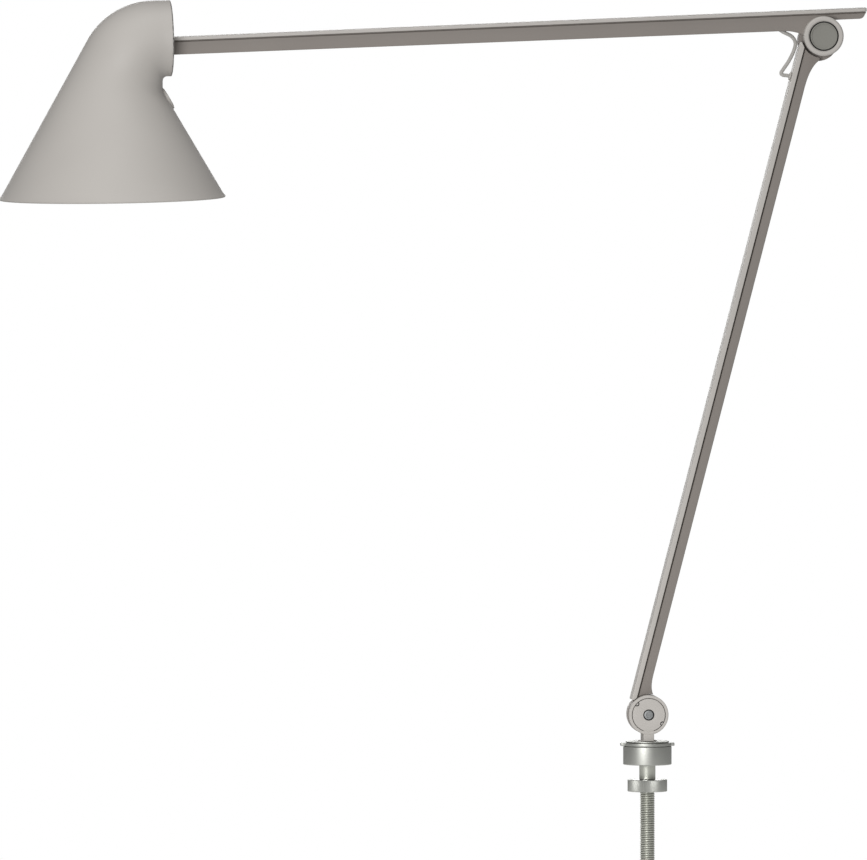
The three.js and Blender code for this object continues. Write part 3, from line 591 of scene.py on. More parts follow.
def threaded_rod():
    """Head, plain shank and a rolled thread that runs round the rod as one helix."""
    bore, head, shank = 2.6, 8.4, 5.3  # radii
    head_top, head_low, shank_end, end = 5.4, 3.3, -9.6, -90
    chamfer, root, thread_depth = 3.9, 4.35, 0.55
    root_share, flank_share = 0.14, 0.72  # of half a pitch
    sides, rows_per_pitch = 64, 10
    profile = [
        (bore, head_top),
        (head, head_top, 0.4),
        (head, head_low),
        (shank, head_low),
        (shank, shank_end, 0.3),
        (chamfer, shank_end),
    ]
    outline = soften(profile, 0.15, 3, loop=False)
    rings = [circle("z", radius, height, sides) for radius, height in outline]
    start = shank_end - 0.02
    rows = int((shank_end - end) / THREAD_PITCH * rows_per_pitch)
    for i in range(rows + 1):
        height = start - (start - end) * i / rows
        limit = min(chamfer + (height - end), chamfer + (shank_end - height) * 1.2)
        ring = []
        for j in range(sides):
            phase = (height / THREAD_PITCH - j / sides) % 1
            flank = abs(phase - 0.5) * 2
            crest = min(1, max(0, (flank - root_share) / flank_share))
            radius = min(root + thread_depth * crest, limit)
            ring.append(axis_point("z", radius, height, 2 * math.pi * j / sides))
        rings.append(ring)
    rings += [circle("z", bore, height, sides) for height in (end, head_top)]
    rod = mesh_object("threaded_rod", rings, closed=True)
    finished(rod, WORLD, "base", "thread_steel", THREAD, "threaded_rod")


def clamp_nut():
    """Round nut with a straight knurl round its rim and a seat for the thrust ring."""
    radius, top, low, bore = 13, -9.9, -17.7, 5.2
    seat, seat_depth = 9.9, 1.3
    knurl_from, knurl_blend, knurl_depth = 12.2, 0.5, 0.22
    teeth, dips = 96, [0, 0.5, 1, 0.5]  # one dip for each point of a tooth
    profile = [
        (bore, low),
        (radius, low, 0.5),
        (radius, top, 0.5),
        (seat, top, 0.15),
        (seat, top - seat_depth),
        (bore, top - seat_depth),
    ]
    sides = teeth * len(dips)
    rings = []
    for reach, height in soften(profile, 0.1, 4):
        share = min(1, max(0, (reach - knurl_from) / knurl_blend))
        ring = []
        for j in range(sides):
            knurled = reach - knurl_depth * share * dips[j % len(dips)]
            ring.append(axis_point("z", knurled, height, 2 * math.pi * j / sides))
        rings.append(ring)
    nut = mesh_object("clamp_nut", rings)
    finished(nut, WORLD, "nut", "brushed_steel", BRUSHED, "clamp_nut")


def lead_bush():
    bore, sleeve, flange = 1.6, 2.3, 3.4  # radii
    low, shoulder, top = -91.3, -90.3, -84.3
    profile = [
        (bore, low, 0.3),
        (flange, low, 0.4),
        (flange, shoulder),
        (sleeve, shoulder),
        (sleeve, top),
        (bore, top),
    ]
    bush = turned("lead_bush", profile, "z", 48, 0.1)
    finished(bush, WORLD, "base", "rubber", RUBBER, "lead_bush")


def clamp():
    base_socket()
    lug_ring()
    threaded_rod()
    clamp_nut()
    lead_bush()
    pad = disc_ring("desk_pad", 5.6, 13.1, 0, 0.6, "z", 96, 0.12)
    finished(pad, WORLD, "base", "rubber", RUBBER, "desk_pad")
    bush = disc_ring("swivel_bush", 6.4, 10.1, 7.5, 11.7, "z", 72, 0.2)
    finished(bush, WORLD, "base", "bronze", BRONZE, "swivel_bush")
    washer = disc_ring("thrust_ring", 6, 9.6, -10.9, -9.8, "z", 96, 0.12)
    finished(washer, WORLD, "clamp_ring", "polished_steel", POLISHED, "thrust_ring")


# ------------------------------------------------------------------ swivelling base knuckle


def base_knuckle():
    """Drum with a slot for the arm's tongue, on a waisted neck and a spigot."""
    half, recess_floor, slot_half = 10, 6.6, 5
    front_recess, rear_recess = 11.1, 8
    neck_half, neck_top = 3.5, -9
    spigot, clip_groove = 6.1, 5.2
    neck_low, spigot_end, groove_low, groove_high = (
        height - PIVOT_HEIGHT for height in (15.7, 6.4, 6.7, 7.3)
    )
    drum_profile = [
        (AXLE_HOLE, -recess_floor),
        (front_recess, -recess_floor),
        (front_recess, -half, 0.25),
        (DRUM, -half, 0.7),
        (DRUM, half, 0.7),
        (rear_recess, half, 0.25),
        (rear_recess, recess_floor),
        (AXLE_HOLE, recess_floor),
    ]
    drum = turned("base_knuckle", drum_profile, "y", 144, 0.12, 4)
    slot = hole(KNUCKLE_ROOM, -slot_half, slot_half, "y", 144)
    neck_outline = [
        (-neck_half, neck_top),
        (-neck_half, neck_low),
        (neck_half, neck_low),
        (neck_half, neck_top),
    ]
    neck = slab("neck", neck_outline, -half + 0.2, half - 0.2, 0.5)
    spigot_profile = [
        (0, spigot_end),
        (spigot, spigot_end, 0.5),
        (spigot, groove_low),
        (clip_groove, groove_low),
        (clip_groove, groove_high),
        (spigot, groove_high),
        (spigot, neck_low + GAP),
        (0, neck_low + GAP),
    ]
    knuckle = cut(joined(drum, neck), slot)
    knuckle = joined(knuckle, turned("spigot", spigot_profile, "z", 72, 0.05))
    finished(knuckle, SWIVEL, "swivel", "painted_light", LIGHT, "base_knuckle")


def base_cover():
    """Front disc with a counterbored hole and two notches for a pin spanner."""
    front, back, radius = -10, -6.9, 10.7
    screw_hole, seat, seat_depth = 1.9, 3.65, 2
    notch_inner, notch_outer, notch_sink, notch_depth = 0.9, 1.6, 0.3, 0.9
    profile = [
        (screw_hole, front + seat_depth),
        (seat, front + seat_depth),
        (seat, front, 0.25),
        (radius, front, 0.35),
        (radius, back),
        (screw_hole, back),
    ]
    cover = turned("base_cover", profile, "y", 144, 0.1, 4)
    notches = []
    centres = []
    for angle in (137, -33):
        x = radius * math.cos(math.radians(angle))
        z = radius * math.sin(math.radians(angle))
        centres.append((x, z))
        for inner, depth in ((0, notch_sink), (notch_inner, notch_depth)):
            notch = disc_ring("notch", inner, notch_outer, front - 1, front + depth, "y", 40, 0)
            notches.append(moved(notch, shift(x, 0, z)))
    cut(cover, *notches)
    finished(cover, SWIVEL, "swivel", "painted_light", LIGHT, "base_cover")

    def in_painted_shade(point):
        """Whether a point is on a wall or floor of the screw's seat or of a notch."""
        in_seat = math.hypot(point.x, point.z) < seat + 0.05 and point.y > front + 0.3
        in_notch = front + 0.35 < point.y < back - 0.3 and any(
            math.hypot(point.x - x, point.z - z) < notch_outer + 0.05 for x, z in centres
        )
        return in_seat or in_notch

    # Painted shade: the walls and floors of the screw's seat and of the notches are made black.
    accent(cover, SWIVEL, BLACK_AND_PAINTED_SHADE, in_painted_shade)


def hexagon(name, across_corners, near, far, fillet=0.0):
    outline = []
    for i in range(6):
        angle = math.radians(60 * i)
        outline.append((across_corners * math.cos(angle), across_corners * math.sin(angle)))
    return slab(name, outline, near, far, fillet)


def cover_screw():
    head, shank, socket = 3.0, 1.6, 1.9  # radii
    face, seat, tip, socket_floor = -9.3, -8.3, -2.6, -8.5
    profile = [
        (0, face),
        (head, face, 0.35),
        (head, seat),
        (shank, seat),
        (shank, tip, 0.3),
        (0, tip),
    ]
    screw = turned("base_cover_screw", profile, "y", 72, 0.08)
    cut(screw, hexagon("socket", socket, face - 0.9, socket_floor))
    finished(screw, SWIVEL, "swivel", "spring_steel", SPRING, "base_cover_screw")
    # Painted shade: the walls and floor of the screw's hex socket are made black.
    accent(
        screw,
        SWIVEL,
        BLACK_AND_PAINTED_SHADE,
        lambda p: math.hypot(p.x, p.z) < socket + 0.1 and p.y < socket_floor - 0.1,
    )


def axle_nut(name, near, far, place, body, node):
    nut = cut(hexagon(name, 5.4, near, far, 0.25), hole(AXLE_HOLE, near - 1, far + 1))
    finished(nut, place, body, "spring_steel", SPRING, node)


def disc_spring(name, near, far, place, body, node):
    inner, outer, sheet = 3.4, 6.9, 0.5
    profile = [(inner, near), (inner, near + sheet), (outer, far), (outer, far - sheet)]
    spring = turned(name, profile, "y", 72, 0.08)
    finished(spring, place, body, "spring_steel", SPRING, node)


def friction_washer(name, near, far, inner, outer, place, body, node):
    washer = disc_ring(name, inner, outer, near, far, "y", 96, 0.08)
    finished(washer, place, body, "bronze", BRONZE, node)


def spigot_clip():
    clip = disc_ring("spigot_clip", 5.4, 7.6, 6.75, 7.2, "z", 72, 0.08)
    cut(clip, block("mouth", (0, -1.2, 5.7), (9, 1.2, 8.2)))
    finished(clip, WORLD, "swivel", "spring_steel", SPRING, "spigot_clip")


def knuckle_group():
    base_knuckle()
    base_cover()
    cover_screw()
    cap = disc_ring("swivel_cap", 6.4, 14.2, 14.6, 15.4, "z", 144, 0.25)
    finished(cap, WORLD, "swivel", "brushed_steel", BRUSHED, "swivel_cap")
    spigot_clip()
    axle = turned(
        "base_axle",
        [(0, -2), (1.9, -2), (1.9, -6.3), (AXLE, -6.3, 0.3), (AXLE, 9.6, 0.3), (0, 9.6)],
        "y",
        60,
        0.05,
    )
    finished(axle, SWIVEL, "swivel", "polished_steel", POLISHED, "base_axle")
    for name, near, far in (("base_washer_front", -4.7, -4.2), ("base_washer_rear", 4.2, 4.7)):
        friction_washer(name, near, far, AXLE_HOLE, 11, SWIVEL, "swivel", name)
    disc_spring("base_spring", 6.9, 7.8, SWIVEL, "swivel", "base_spring")
    axle_nut("base_nut", 8.1, 9.9, SWIVEL, "swivel", "base_nut")


# ------------------------------------------------------------------ arms


def beam_skin(name, underside, top):
    """A beam with rounded lower edges, wider towards the top, where a groove runs along it.

    The groove on each side leaves the shadow line that shows under the cover strip.
    """
    wide, narrow = BEAM_HALF, 4.3
    level = min(z for _, z in underside)
    rings = []
    for x, bottom in underside:
        depth = max(top - bottom, 0.4)
        low = top - depth
        share = depth / (top - level)
        foot = wide - (wide - narrow) * min(1, share)
        edge = min(0.7, 0.4 * depth)
        groove = min(GROOVE_HEIGHT, 0.4 * depth)
        corners = [
            (0, low),
            (foot, low, edge),
            (wide, top - groove, 0.1),
            (wide - GROOVE_DEPTH, top - groove / 2),
            (wide - GROOVE_DEPTH, top),
        ]
        half = soften(corners, 0, 4, loop=False)
        right = [(x, y, z) for y, z in half[1:]]
        left = [(x, -y, z) for y, z in reversed(half[1:])]
        rings.append(right + left)
    return mesh_object(name, rings, closed=False, capped=True)


def strip_skin(name, spans, top, thick):
    """A flat cover strip with rounded edges, through [x, half width] spans."""
    rings = []
    for x, half in spans:
        corners = [(half, top - thick, 0.25), (half, top, 0.6)]
        outline = soften([(0, top - thick), *corners, (0, top)], 0, 4, loop=False)
        right = [(x, y, z) for y, z in outline[1:-1]]
        left = [(x, -y, z) for y, z in reversed(outline[1:-1])]
        rings.append(right + left)
    return mesh_object(name, rings, closed=False, capped=True)


def elbow_lobe(clearance, near, far, fillet=0.0):
    lobe = disc_ring("lobe", 0, 13 + clearance, near, far, "y", 96, fillet)
    return moved(lobe, shift(-4.3, 0, 1.5))


def lower_beam():
    bottom, reach = 3.1, LOWER_REACH
    underside = [(0, 0), (12, -2)]
    underside += quadratic((12, -2), (15, bottom), (26, bottom))
    underside += [(reach - 36, bottom)]
    underside += quadratic((reach - 36, bottom), (reach - 22, bottom), (reach - 16, -2))
    underside += [(reach, 0)]
    beam = beam_skin("lower_arm_beam", underside, LOWER_BEAM_TOP)
    eye_near, eye_far, eye_radius = 0.8, 11, 12.9
    tongue_half = 3.9
    elbow = (reach, 0, 0)
    knuckle_room = hole(KNUCKLE_ROOM, -8, 8, "y", 144)
    elbow_room = hole(ELBOW_ROOM, -8, eye_near, "y", 144, elbow)
    trough = block("trough", (20, -2.4, 5.2), (LEAD_ENTRY + 4, 2.4, LOWER_BEAM_TOP + 1))
    beam = cut(beam, knuckle_room, elbow_room, trough)
    tongue = disc_ring("tongue", 0, eye_radius, -tongue_half, tongue_half, "y", 144, 0.3)
    strut = block("strut", (6, -tongue_half, bottom), (20, tongue_half, LOWER_BEAM_TOP), 0.3)
    eye = moved(disc_ring("eye", 0, eye_radius, eye_near, eye_far, "y", 144, 0.5), shift(reach))
    lobe = moved(elbow_lobe(0, eye_near, eye_far, 0.5), shift(reach))
    beam = joined(beam, tongue, strut, eye, lobe)
    cap_recess = hole(8, 8, 12, "y", 96, elbow)
    bore = hole(AXLE_HOLE, -20, 20)
    far_bore = hole(AXLE_HOLE, -20, 20, at=elbow)
    beam = cut(beam, cap_recess, bore, far_bore)
    # The whole lower beam is in the darker copy of the paint, as painted shade.
    finished(beam, LOWER, "lower_arm", "painted_dark", BEAM_PAINTED_SHADE, "lower_arm_beam")


def lower_cover():
    top, reach = LOWER_COVER_TOP, LOWER_REACH
    spans = [(7, STRIP_HALF), (reach - 7.5, STRIP_HALF)]
    strip = strip_skin("lower_arm_cover", spans, top, LOWER_COVER_THICK)
    knuckle_room = hole(KNUCKLE_ROOM, -9, 9, "y", 144)
    elbow_room = hole(ELBOW_ROOM, -9, 9, "y", 144, (reach, 0, 0))
    lobe_room = moved(elbow_lobe(0.6, 0.5, 9), shift(reach))
    lead_hole = hole(2.2, top - 5, top + 1, "z", 48, (LEAD_ENTRY, 0, 0))
    cut(strip, knuckle_room, elbow_room, lobe_room, lead_hole)
    finished(strip, LOWER, "lower_arm", "painted_light", LIGHT, "lower_arm_cover")


def lead_grommet():
    bore, sleeve, flange = 1.55, 1.9, 2.9  # radii
    low, shoulder = LOWER_COVER_TOP - LOWER_COVER_THICK, LOWER_COVER_TOP + GAP
    profile = [
        (bore, low),
        (sleeve, low),
        (sleeve, shoulder),
        (flange, shoulder, 0.15),
        (flange, shoulder + 0.7, 0.3),
        (bore, shoulder + 1.1, 0.2),
    ]
    grommet = turned("lead_grommet", profile, "z", 48, 0.05)
    place = LOWER @ shift(LEAD_ENTRY)
    finished(grommet, place, "lower_arm", "painted_light", LIGHT, "lead_grommet")


def upper_beam():
    """The beam with the stem's bore at the head end and the elbow's stepped boss."""
    top = UPPER_BEAM_TOP
    head_bottom, elbow_bottom, tail_bottom = 5.55, 4.1, 10.1
    boss_back, boss_face, recess_floor, well_floor = -0.8, -12, -9, -4.8
    well, recess = 7.6, 9.7  # radii
    underside = [(UPPER_END, head_bottom), (-27, elbow_bottom)]
    underside += quadratic((-27, elbow_bottom), (-17, elbow_bottom), (-12, 0))
    underside += [(0, 0), (6, tail_bottom), (UPPER_TAIL - 5, tail_bottom)]
    underside += quadratic(
        (UPPER_TAIL - 5, tail_bottom), (UPPER_TAIL - 2.4, tail_bottom), (UPPER_TAIL - 1.4, top - 2)
    )
    underside += [(UPPER_TAIL - 0.4, top)]
    beam = beam_skin("upper_arm_beam", underside, top)
    rooms = [hole(15.4, boss_back, 9, "y", 144)]
    folds, fold_range = 4, 21  # the eye's lobe needs room as the elbow closes
    for i in range(folds):
        closed = fold_range * i / (folds - 1)
        rooms.append(moved(elbow_lobe(0.6, boss_back, 9), turn_y(closed - ELBOW_FOLD)))
    rooms.append(block("trough", (UPPER_END + 20, -2.4, 7.6), (-22, 2.4, top + 1)))
    beam = cut(beam, *rooms, hole(12.5, -11, -1, "y", 96))
    boss_profile = [
        (AXLE_HOLE, well_floor),
        (well, well_floor),
        (well, recess_floor),
        (recess, recess_floor),
        (recess, -11.3, 0.1),
        (10.5, boss_face, 0.15),
        (12.1, boss_face, 0.3),
        (DRUM, -11.1, 0.3),
        (DRUM, boss_back, 0.15),
        (AXLE_HOLE, boss_back),
    ]
    beam = joined(beam, turned("boss", boss_profile, "y", 144, 0.05, 4))
    stem_hole = STEM_RADIUS + GAP
    stem_bore = hole(stem_hole, UPPER_END - 1, UPPER_END + 22, "x", at=(0, 0, STEM_HEIGHT))
    lead_slot = block("slot", (-36, -1.8, -3), (-20, 1.8, 9))
    beam = cut(beam, stem_bore, lead_slot)
    # The beam is in the darker copy of the paint, as painted shade; the boss below gets the plain
    # paint back.
    finished(beam, UPPER, "upper_arm", "painted_dark", BEAM_PAINTED_SHADE, "upper_arm_beam")

    def on_boss(point):
        return math.hypot(point.x, point.z) < DRUM + 0.05 and point.y < -BEAM_HALF - 0.1

    def in_recess(point):
        reach = math.hypot(point.x, point.z)
        return reach < recess + 0.05 and -11.2 < point.y < well_floor - 0.1

    accent(beam, UPPER, LIGHT, on_boss)
    # Painted shade: the recess round the knob is made black, for the dark gap round it.
    accent(beam, UPPER, BLACK_AND_PAINTED_SHADE, in_recess)


def upper_cover():
    """The strip that covers the upper beam, with two rounded corners past the elbow."""
    corner, top, thick = 2, 17, 2.1
    start = (UPPER_TAIL - corner, STRIP_HALF)
    end = (UPPER_TAIL, STRIP_HALF - corner)
    spans = [(UPPER_END, STRIP_HALF), start]
    spans += quadratic(start, (UPPER_TAIL, STRIP_HALF), end, 8)
    strip = strip_skin("upper_arm_cover", spans, top, thick)
    finished(strip, UPPER, "upper_arm", "painted_light", LIGHT, "upper_arm_cover")


# ------------------------------------------------------------------ leads


def catmull(points, steps):
    """A smooth curve through the points, with steps pieces to each span."""
    ends = [points[0] * 2 - points[1], *points, points[-1] * 2 - points[-2]]
    line = []
    for i in range(1, len(ends) - 2):
        a, b, c, d = ends[i - 1 : i + 3]
        for step in range(steps):
            t = step / steps
            line.append(
                0.5
                * (
                    2 * b
                    + (c - a) * t
                    + (2 * a - 5 * b + 4 * c - d) * t**2
                    + (3 * b - a - 3 * c + d) * t**3
                )
            )
    line.append(points[-1])
    return line


def lead_tube(name, line, sides=24):
    """A braided tube along a line in the XZ plane, its threads standing proud in two sets."""
    threads, twist, relief = 8, 2.6, 0.06  # round the tube, radians per mm, mm
    rings = []
    run = 0.0
    runs = []
    for i, here in enumerate(line):
        before = line[max(0, i - 1)]
        after = line[min(len(line) - 1, i + 1)]
        if i:
            run += (here - before).length
        runs.append(run)
        forward = (after - before).normalized()
        out = Vector((-forward.z, 0, forward.x))
        ring = []
        for j in range(sides):
            angle = 2 * math.pi * j / sides
            lean = threads * angle
            weave = math.sin(lean + run * twist) * math.sin(-lean + run * twist)
            radius = LEAD_RADIUS - relief + relief * weave
            sideways = Vector((0, radius * math.sin(angle), 0))
            ring.append(here + out * radius * math.cos(angle) + sideways)
        rings.append(ring)
    tube = mesh_object(name, rings, closed=False, capped=True)
    lay_uv(tube.data, sides, [r / 10 for r in runs])
    return tube


def lay_uv(mesh, sides, runs):
    """Around and along the tube: vertices are in rings, one ring for each point of its line."""
    layer = mesh.uv_layers.new(name="UVMap")
    for face in mesh.polygons:
        ids = [mesh.loops[k].vertex_index % sides for k in face.loop_indices]
        wraps = max(ids) - min(ids) > sides / 2
        for k in face.loop_indices:
            vertex = mesh.loops[k].vertex_index
            around = vertex % sides
            if wraps and around < sides / 2:
                around += sides
            row = min(len(runs) - 1, vertex // sides)
            layer.data[k].uv = (around / sides, runs[row])


def straight(start, end, step=1.2):
    span = end - start
    count = max(2, int(span.length / step))
    return [start + span * i / count for i in range(count + 1)]


def leads():
    """The lead inside each beam, and the short one that crosses the elbow in a loop."""
    high, low = 9.3, 7.4  # heights inside the upper beam and inside the lower one
    upper_line = straight(Vector((UPPER_END + 23, 0, high)), Vector((-36.4, 0, high)))
    upper = lead_tube("upper_arm_lead", upper_line, 16)
    finished(upper, UPPER, "upper_arm", "lead_sleeve", SLEEVE, "upper_arm_lead")
    lower_line = straight(Vector((22, 0, low)), Vector((LEAD_ENTRY - 8.5, 0, low)))
    lower = lead_tube("lower_arm_lead", lower_line, 16)
    finished(lower, LOWER, "lower_arm", "lead_sleeve", SLEEVE, "lower_arm_lead")
    route = [  # x and z in the upper arm's frame
        (-36, high),
        (-31.5, 8),
        (-26.2, 3.7),
        (-20.4, 0.4),
        (-17.9, -3.8),
        (-19.1, -9.2),
        (-22.5, -15.6),
        (-26.6, -21.2),
        (-28, -23.6),
        (-26.7, -24.9),
        (-24.2, -25.3),
        (-20.4, -26.4),
        (-17.2, -27.9),
        (-16.6, -30.8),
        (-17.8, -34.8),
    ]
    line = catmull([Vector((x, 0, z)) for x, z in route], 24)
    loop = lead_tube("elbow_lead", line, 48)
    finished(loop, UPPER, None, "lead_sleeve", SLEEVE, "elbow_lead")
    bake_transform(loop)


# ------------------------------------------------------------------ elbow hardware


def elbow_group():
    axle = turned(
        "elbow_axle",
        [(0, -8.4), (AXLE, -8.4, 0.3), (AXLE, 8.3), (6, 8.3), (6, 9.3, 0.3), (0, 9.3)],
        "y",
        60,
        0.08,
    )
    finished(axle, ELBOW, "lower_arm", "polished_steel", POLISHED, "elbow_axle")
    axle_nut("elbow_nut", -8.4, -6.6, ELBOW, "lower_arm", "elbow_nut")
    disc_spring("elbow_spring", -6.3, -5.1, ELBOW, "lower_arm", "elbow_spring")
    friction_washer("elbow_washer", -0.5, 0.5, AXLE_HOLE, 11, ELBOW, "lower_arm", "elbow_washer")
    dish, rim, back = -11.6, -12.1, -9.3
    knob_profile = [
        (0, dish),
        (8.0, dish, 0.1),
        (8.2, rim, 0.1),
        (8.6, rim, 0.15),
        (8.85, -11.8),
        (8.85, back),
        (0, back),
    ]
    knob = turned("elbow_cap", knob_profile, "y", 144, 0.1, 4)
    finished(knob, UPPER, "upper_arm", "cap_plastic", CAP, "elbow_cap")
    rear_profile = [(0, 9.6), (7.7, 9.6), (7.7, 11.3, 0.5), (0, 11.3)]
    rear = turned("elbow_rear_cap", rear_profile, "y", 96, 0.1, 4)
    finished(rear, ELBOW, "lower_arm", "cap_plastic", CAP, "elbow_rear_cap")


# ------------------------------------------------------------------ head hinge


def head_fork():
    """Two cheeks round the tilt pin, on a hollow stem that turns in the upper beam."""
    end = UPPER_END + UPPER_REACH
    cheek, fork_half, jaw_half = 4.4, 5.6, 3.1
    jaw_end, base_end = end - 3.6, end - 1.6
    turns = 16
    outline = [(end - 3, -cheek), (end - 3, cheek), (0, cheek)]
    for i in range(1, turns):
        angle = math.pi / 2 + math.pi * i / turns
        outline.append((cheek * math.cos(angle), cheek * math.sin(angle)))
    outline.append((0, -cheek))
    fork = slab("head_fork", outline, -fork_half, fork_half, 0.35)
    fork = cut(fork, block("jaw", (-6, -jaw_half, -7), (jaw_end, jaw_half, 7)))
    base = disc_ring("base", 0, 6, jaw_end, base_end, "x", 60, 0.2)
    stem = disc_ring("stem", 0, STEM_RADIUS, end - 2, end + 21, "x", 48, 0.3)
    fork = joined(fork, base, stem)
    wire_way = hole(1.4, end - 8, end + 22, "x", 32)
    cut(fork, hole(PIN_HOLE, -8, 8, sides=40), wire_way)
    finished(fork, HINGE, "head_hinge", "polished_steel", POLISHED, "head_fork")


def hinge_group():
    end = UPPER_END + UPPER_REACH
    head_fork()
    bore = STEM_RADIUS + GAP
    washer = disc_ring("fork_washer", bore, 5.6, end - 1.3, end - GAP, "x", 60, 0.1)
    finished(washer, HINGE, "head_hinge", "bronze", BRONZE, "fork_washer")
    head, face, seat, tip = 3, -7.4, -5.9, 7.8
    pin_profile = [
        (0, face),
        (head, face, 0.5),
        (head, seat),
        (PIN_RADIUS, seat),
        (PIN_RADIUS, tip, 0.3),
        (0, tip),
    ]
    pin = turned("tilt_pin", pin_profile, "y", 48, 0.08)
    finished(pin, HINGE, "head_hinge", "polished_steel", POLISHED, "tilt_pin")
    nut = cut(hexagon("tilt_nut", 3.1, 5.9, 7.6, 0.2), hole(PIN_HOLE, 5, 9, sides=40))
    finished(nut, HINGE, "head_hinge", "polished_steel", POLISHED, "tilt_nut")
    for name, near, far in (("tilt_washer_front", -2.8, -2.3), ("tilt_washer_rear", 2.3, 2.8)):
        friction_washer(name, near, far, PIN_HOLE, 4.2, HEAD, "head", name)


# ------------------------------------------------------------------ shade

RIM_RADIUS = 74.25
RIM_Z = -98.6
AXIS_X = -24.4
WALL = 1.8
SLOPE_ANGLE = 29.75
SLOPE = math.tan(math.radians(SLOPE_ANGLE))
MOUTH_X, MOUTH_Z, MOUTH_RADIUS = 15.8, 5.85, 24.9
SHADE_TOP = MOUTH_Z + MOUTH_RADIUS
MOUTH_FLOOR = MOUTH_Z - MOUTH_RADIUS
SHOULDER = 50
NOTCH_X, NOTCH_FILLET = 9.8, 3
CONE_TOP = -31
SWITCH_Z = -33.4
BEZEL_RADIUS = 8


def cone_radius(z):
    return RIM_RADIUS - SLOPE * (z - RIM_Z)


def distance_to_skin(start, direction):
    """How far a ray in XZ runs to the cone's far side, the round shoulder or the flat top."""
    cone_gap = cone_radius(start.y) + start.x - AXIS_X
    to_cone = -cone_gap / (direction.x - SLOPE * direction.y)
    to_top = (SHADE_TOP - start.y) / direction.y if direction.y > 1e-6 else math.inf
    centre_z = SHADE_TOP - SHOULDER
    lean = math.radians(SLOPE_ANGLE)
    centre = Vector((AXIS_X - cone_radius(centre_z) + SHOULDER / math.cos(lean), centre_z))
    offset = start - centre
    along = offset.dot(direction)
    to_arc = -along + math.sqrt(max(0, along**2 - offset.length_squared + SHOULDER**2))
    on_arc = start + direction * to_arc
    if on_arc.x < centre.x and on_arc.y > centre.y + SHOULDER * math.sin(lean):
        return to_arc
    return min(to_top, to_cone if to_cone > 0 else math.inf)


def notch_line():
    """The inner line of the bend, from the cone's near side round the notch to the mouth."""
    start = (AXIS_X + cone_radius(CONE_TOP), CONE_TOP)
    line = [start]
    line += quadratic(start, (NOTCH_X, CONE_TOP + 2), (NOTCH_X, CONE_TOP + 5), 24)
    line.append((NOTCH_X, MOUTH_FLOOR - NOTCH_FILLET))
    for i in range(1, 25):
        angle = math.pi - math.pi / 2 * i / 24
        line.append(
            (
                NOTCH_X + NOTCH_FILLET + NOTCH_FILLET * math.cos(angle),
                MOUTH_FLOOR - NOTCH_FILLET + NOTCH_FILLET * math.sin(angle),
            )
        )
    line.append((MOUTH_X, MOUTH_FLOOR))
    return [Vector(point) for point in line]


def at_share(line, share):
    """The point at a share of a polyline's length."""
    spans = [(b - a).length for a, b in zip(line, line[1:])]
    left = share * sum(spans)
    for a, b, span in zip(line, line[1:], spans):
        if left <= span:
            return a + (b - a) * (left / span)
        left -= span
    return line[-1].copy()


def shade_sections():
    """Circles up the cone, then circles that fan round the notch to the mouth."""
    sections = []
    cone_steps = 24
    for i in range(cone_steps + 1):
        z = RIM_Z + (CONE_TOP - RIM_Z) * i / cone_steps
        sections.append((Vector((AXIS_X, z)), cone_radius(z), Vector((-1, 0))))
    line = notch_line()
    steps = 60
    for i in range(1, steps + 1):
        start = at_share(line, i / steps)
        t = (i / steps + 0.1) / 1.1
        angle = math.pi / 2 * t * t * (3 - 2 * t)
        towards = Vector((-math.cos(angle), math.sin(angle)))
        radius = distance_to_skin(start, towards) / 2
        sections.append((start + towards * radius, radius, towards))
    return sections


def section_ring(section, thinner, sides):
    centre, radius, towards = section
    ring = []
    for i in range(sides):
        angle = 2 * math.pi * i / sides
        across = (radius - thinner) * math.cos(angle)
        y = (radius - thinner) * math.sin(angle)
        ring.append((centre.x + across * towards.x, y, centre.y + across * towards.y))
    return ring


def lip_rings(section, outward, sides):
    """Rings round the edge of the sheet, from its outer face to its inner one."""
    steps = 6
    centre, radius, towards = section
    rings = []
    for i in range(1, steps):
        angle = math.pi * i / steps
        thinner = WALL / 2 * (1 - math.cos(angle))
        pushed = centre + outward * (WALL / 2) * (math.sin(angle) - 1)
        rings.append(section_ring((pushed, radius, towards), thinner, sides))
    return rings


def inset_section(section, outward):
    """The sheet's end section drawn back by half its thickness, to leave room for the round lip."""
    centre, radius, towards = section
    return (centre - outward * (WALL / 2), radius, towards)


def switch_seat():
    """The switch's own frame, on the cone's near side and square to it."""
    return HEAD @ shift(AXIS_X + cone_radius(SWITCH_Z), 0, SWITCH_Z) @ turn_y(-SLOPE_ANGLE)


def shade():
    sides = 160
    sections = shade_sections()
    down, out = Vector((0, -1)), Vector((1, 0))
    rim, mouth = sections[0], sections[-1]
    body = [inset_section(rim, down), *sections[1:-1], inset_section(mouth, out)]
    outside = [section_ring(section, 0, sides) for section in body]
    inside = [section_ring(section, WALL, sides) for section in body]
    mouth_lip = lip_rings(mouth, out, sides)
    rim_lip = lip_rings(rim, down, sides)
    rings = [*outside, *mouth_lip, *reversed(inside), *reversed(rim_lip)]
    skin = mesh_object("shade", rings)
    seat = HEAD.inverted() @ switch_seat()
    cut(skin, moved(hole(BEZEL_RADIUS + 0.2, -6, 6, "x", 96), seat))
    finished(skin, HEAD, "head", "painted_light", LIGHT, "shade")


# ------------------------------------------------------------------ pieces inside the shade

LAMP_AXIS = HEAD @ shift(AXIS_X)


def inside_radius(z):
    return cone_radius(z) - WALL


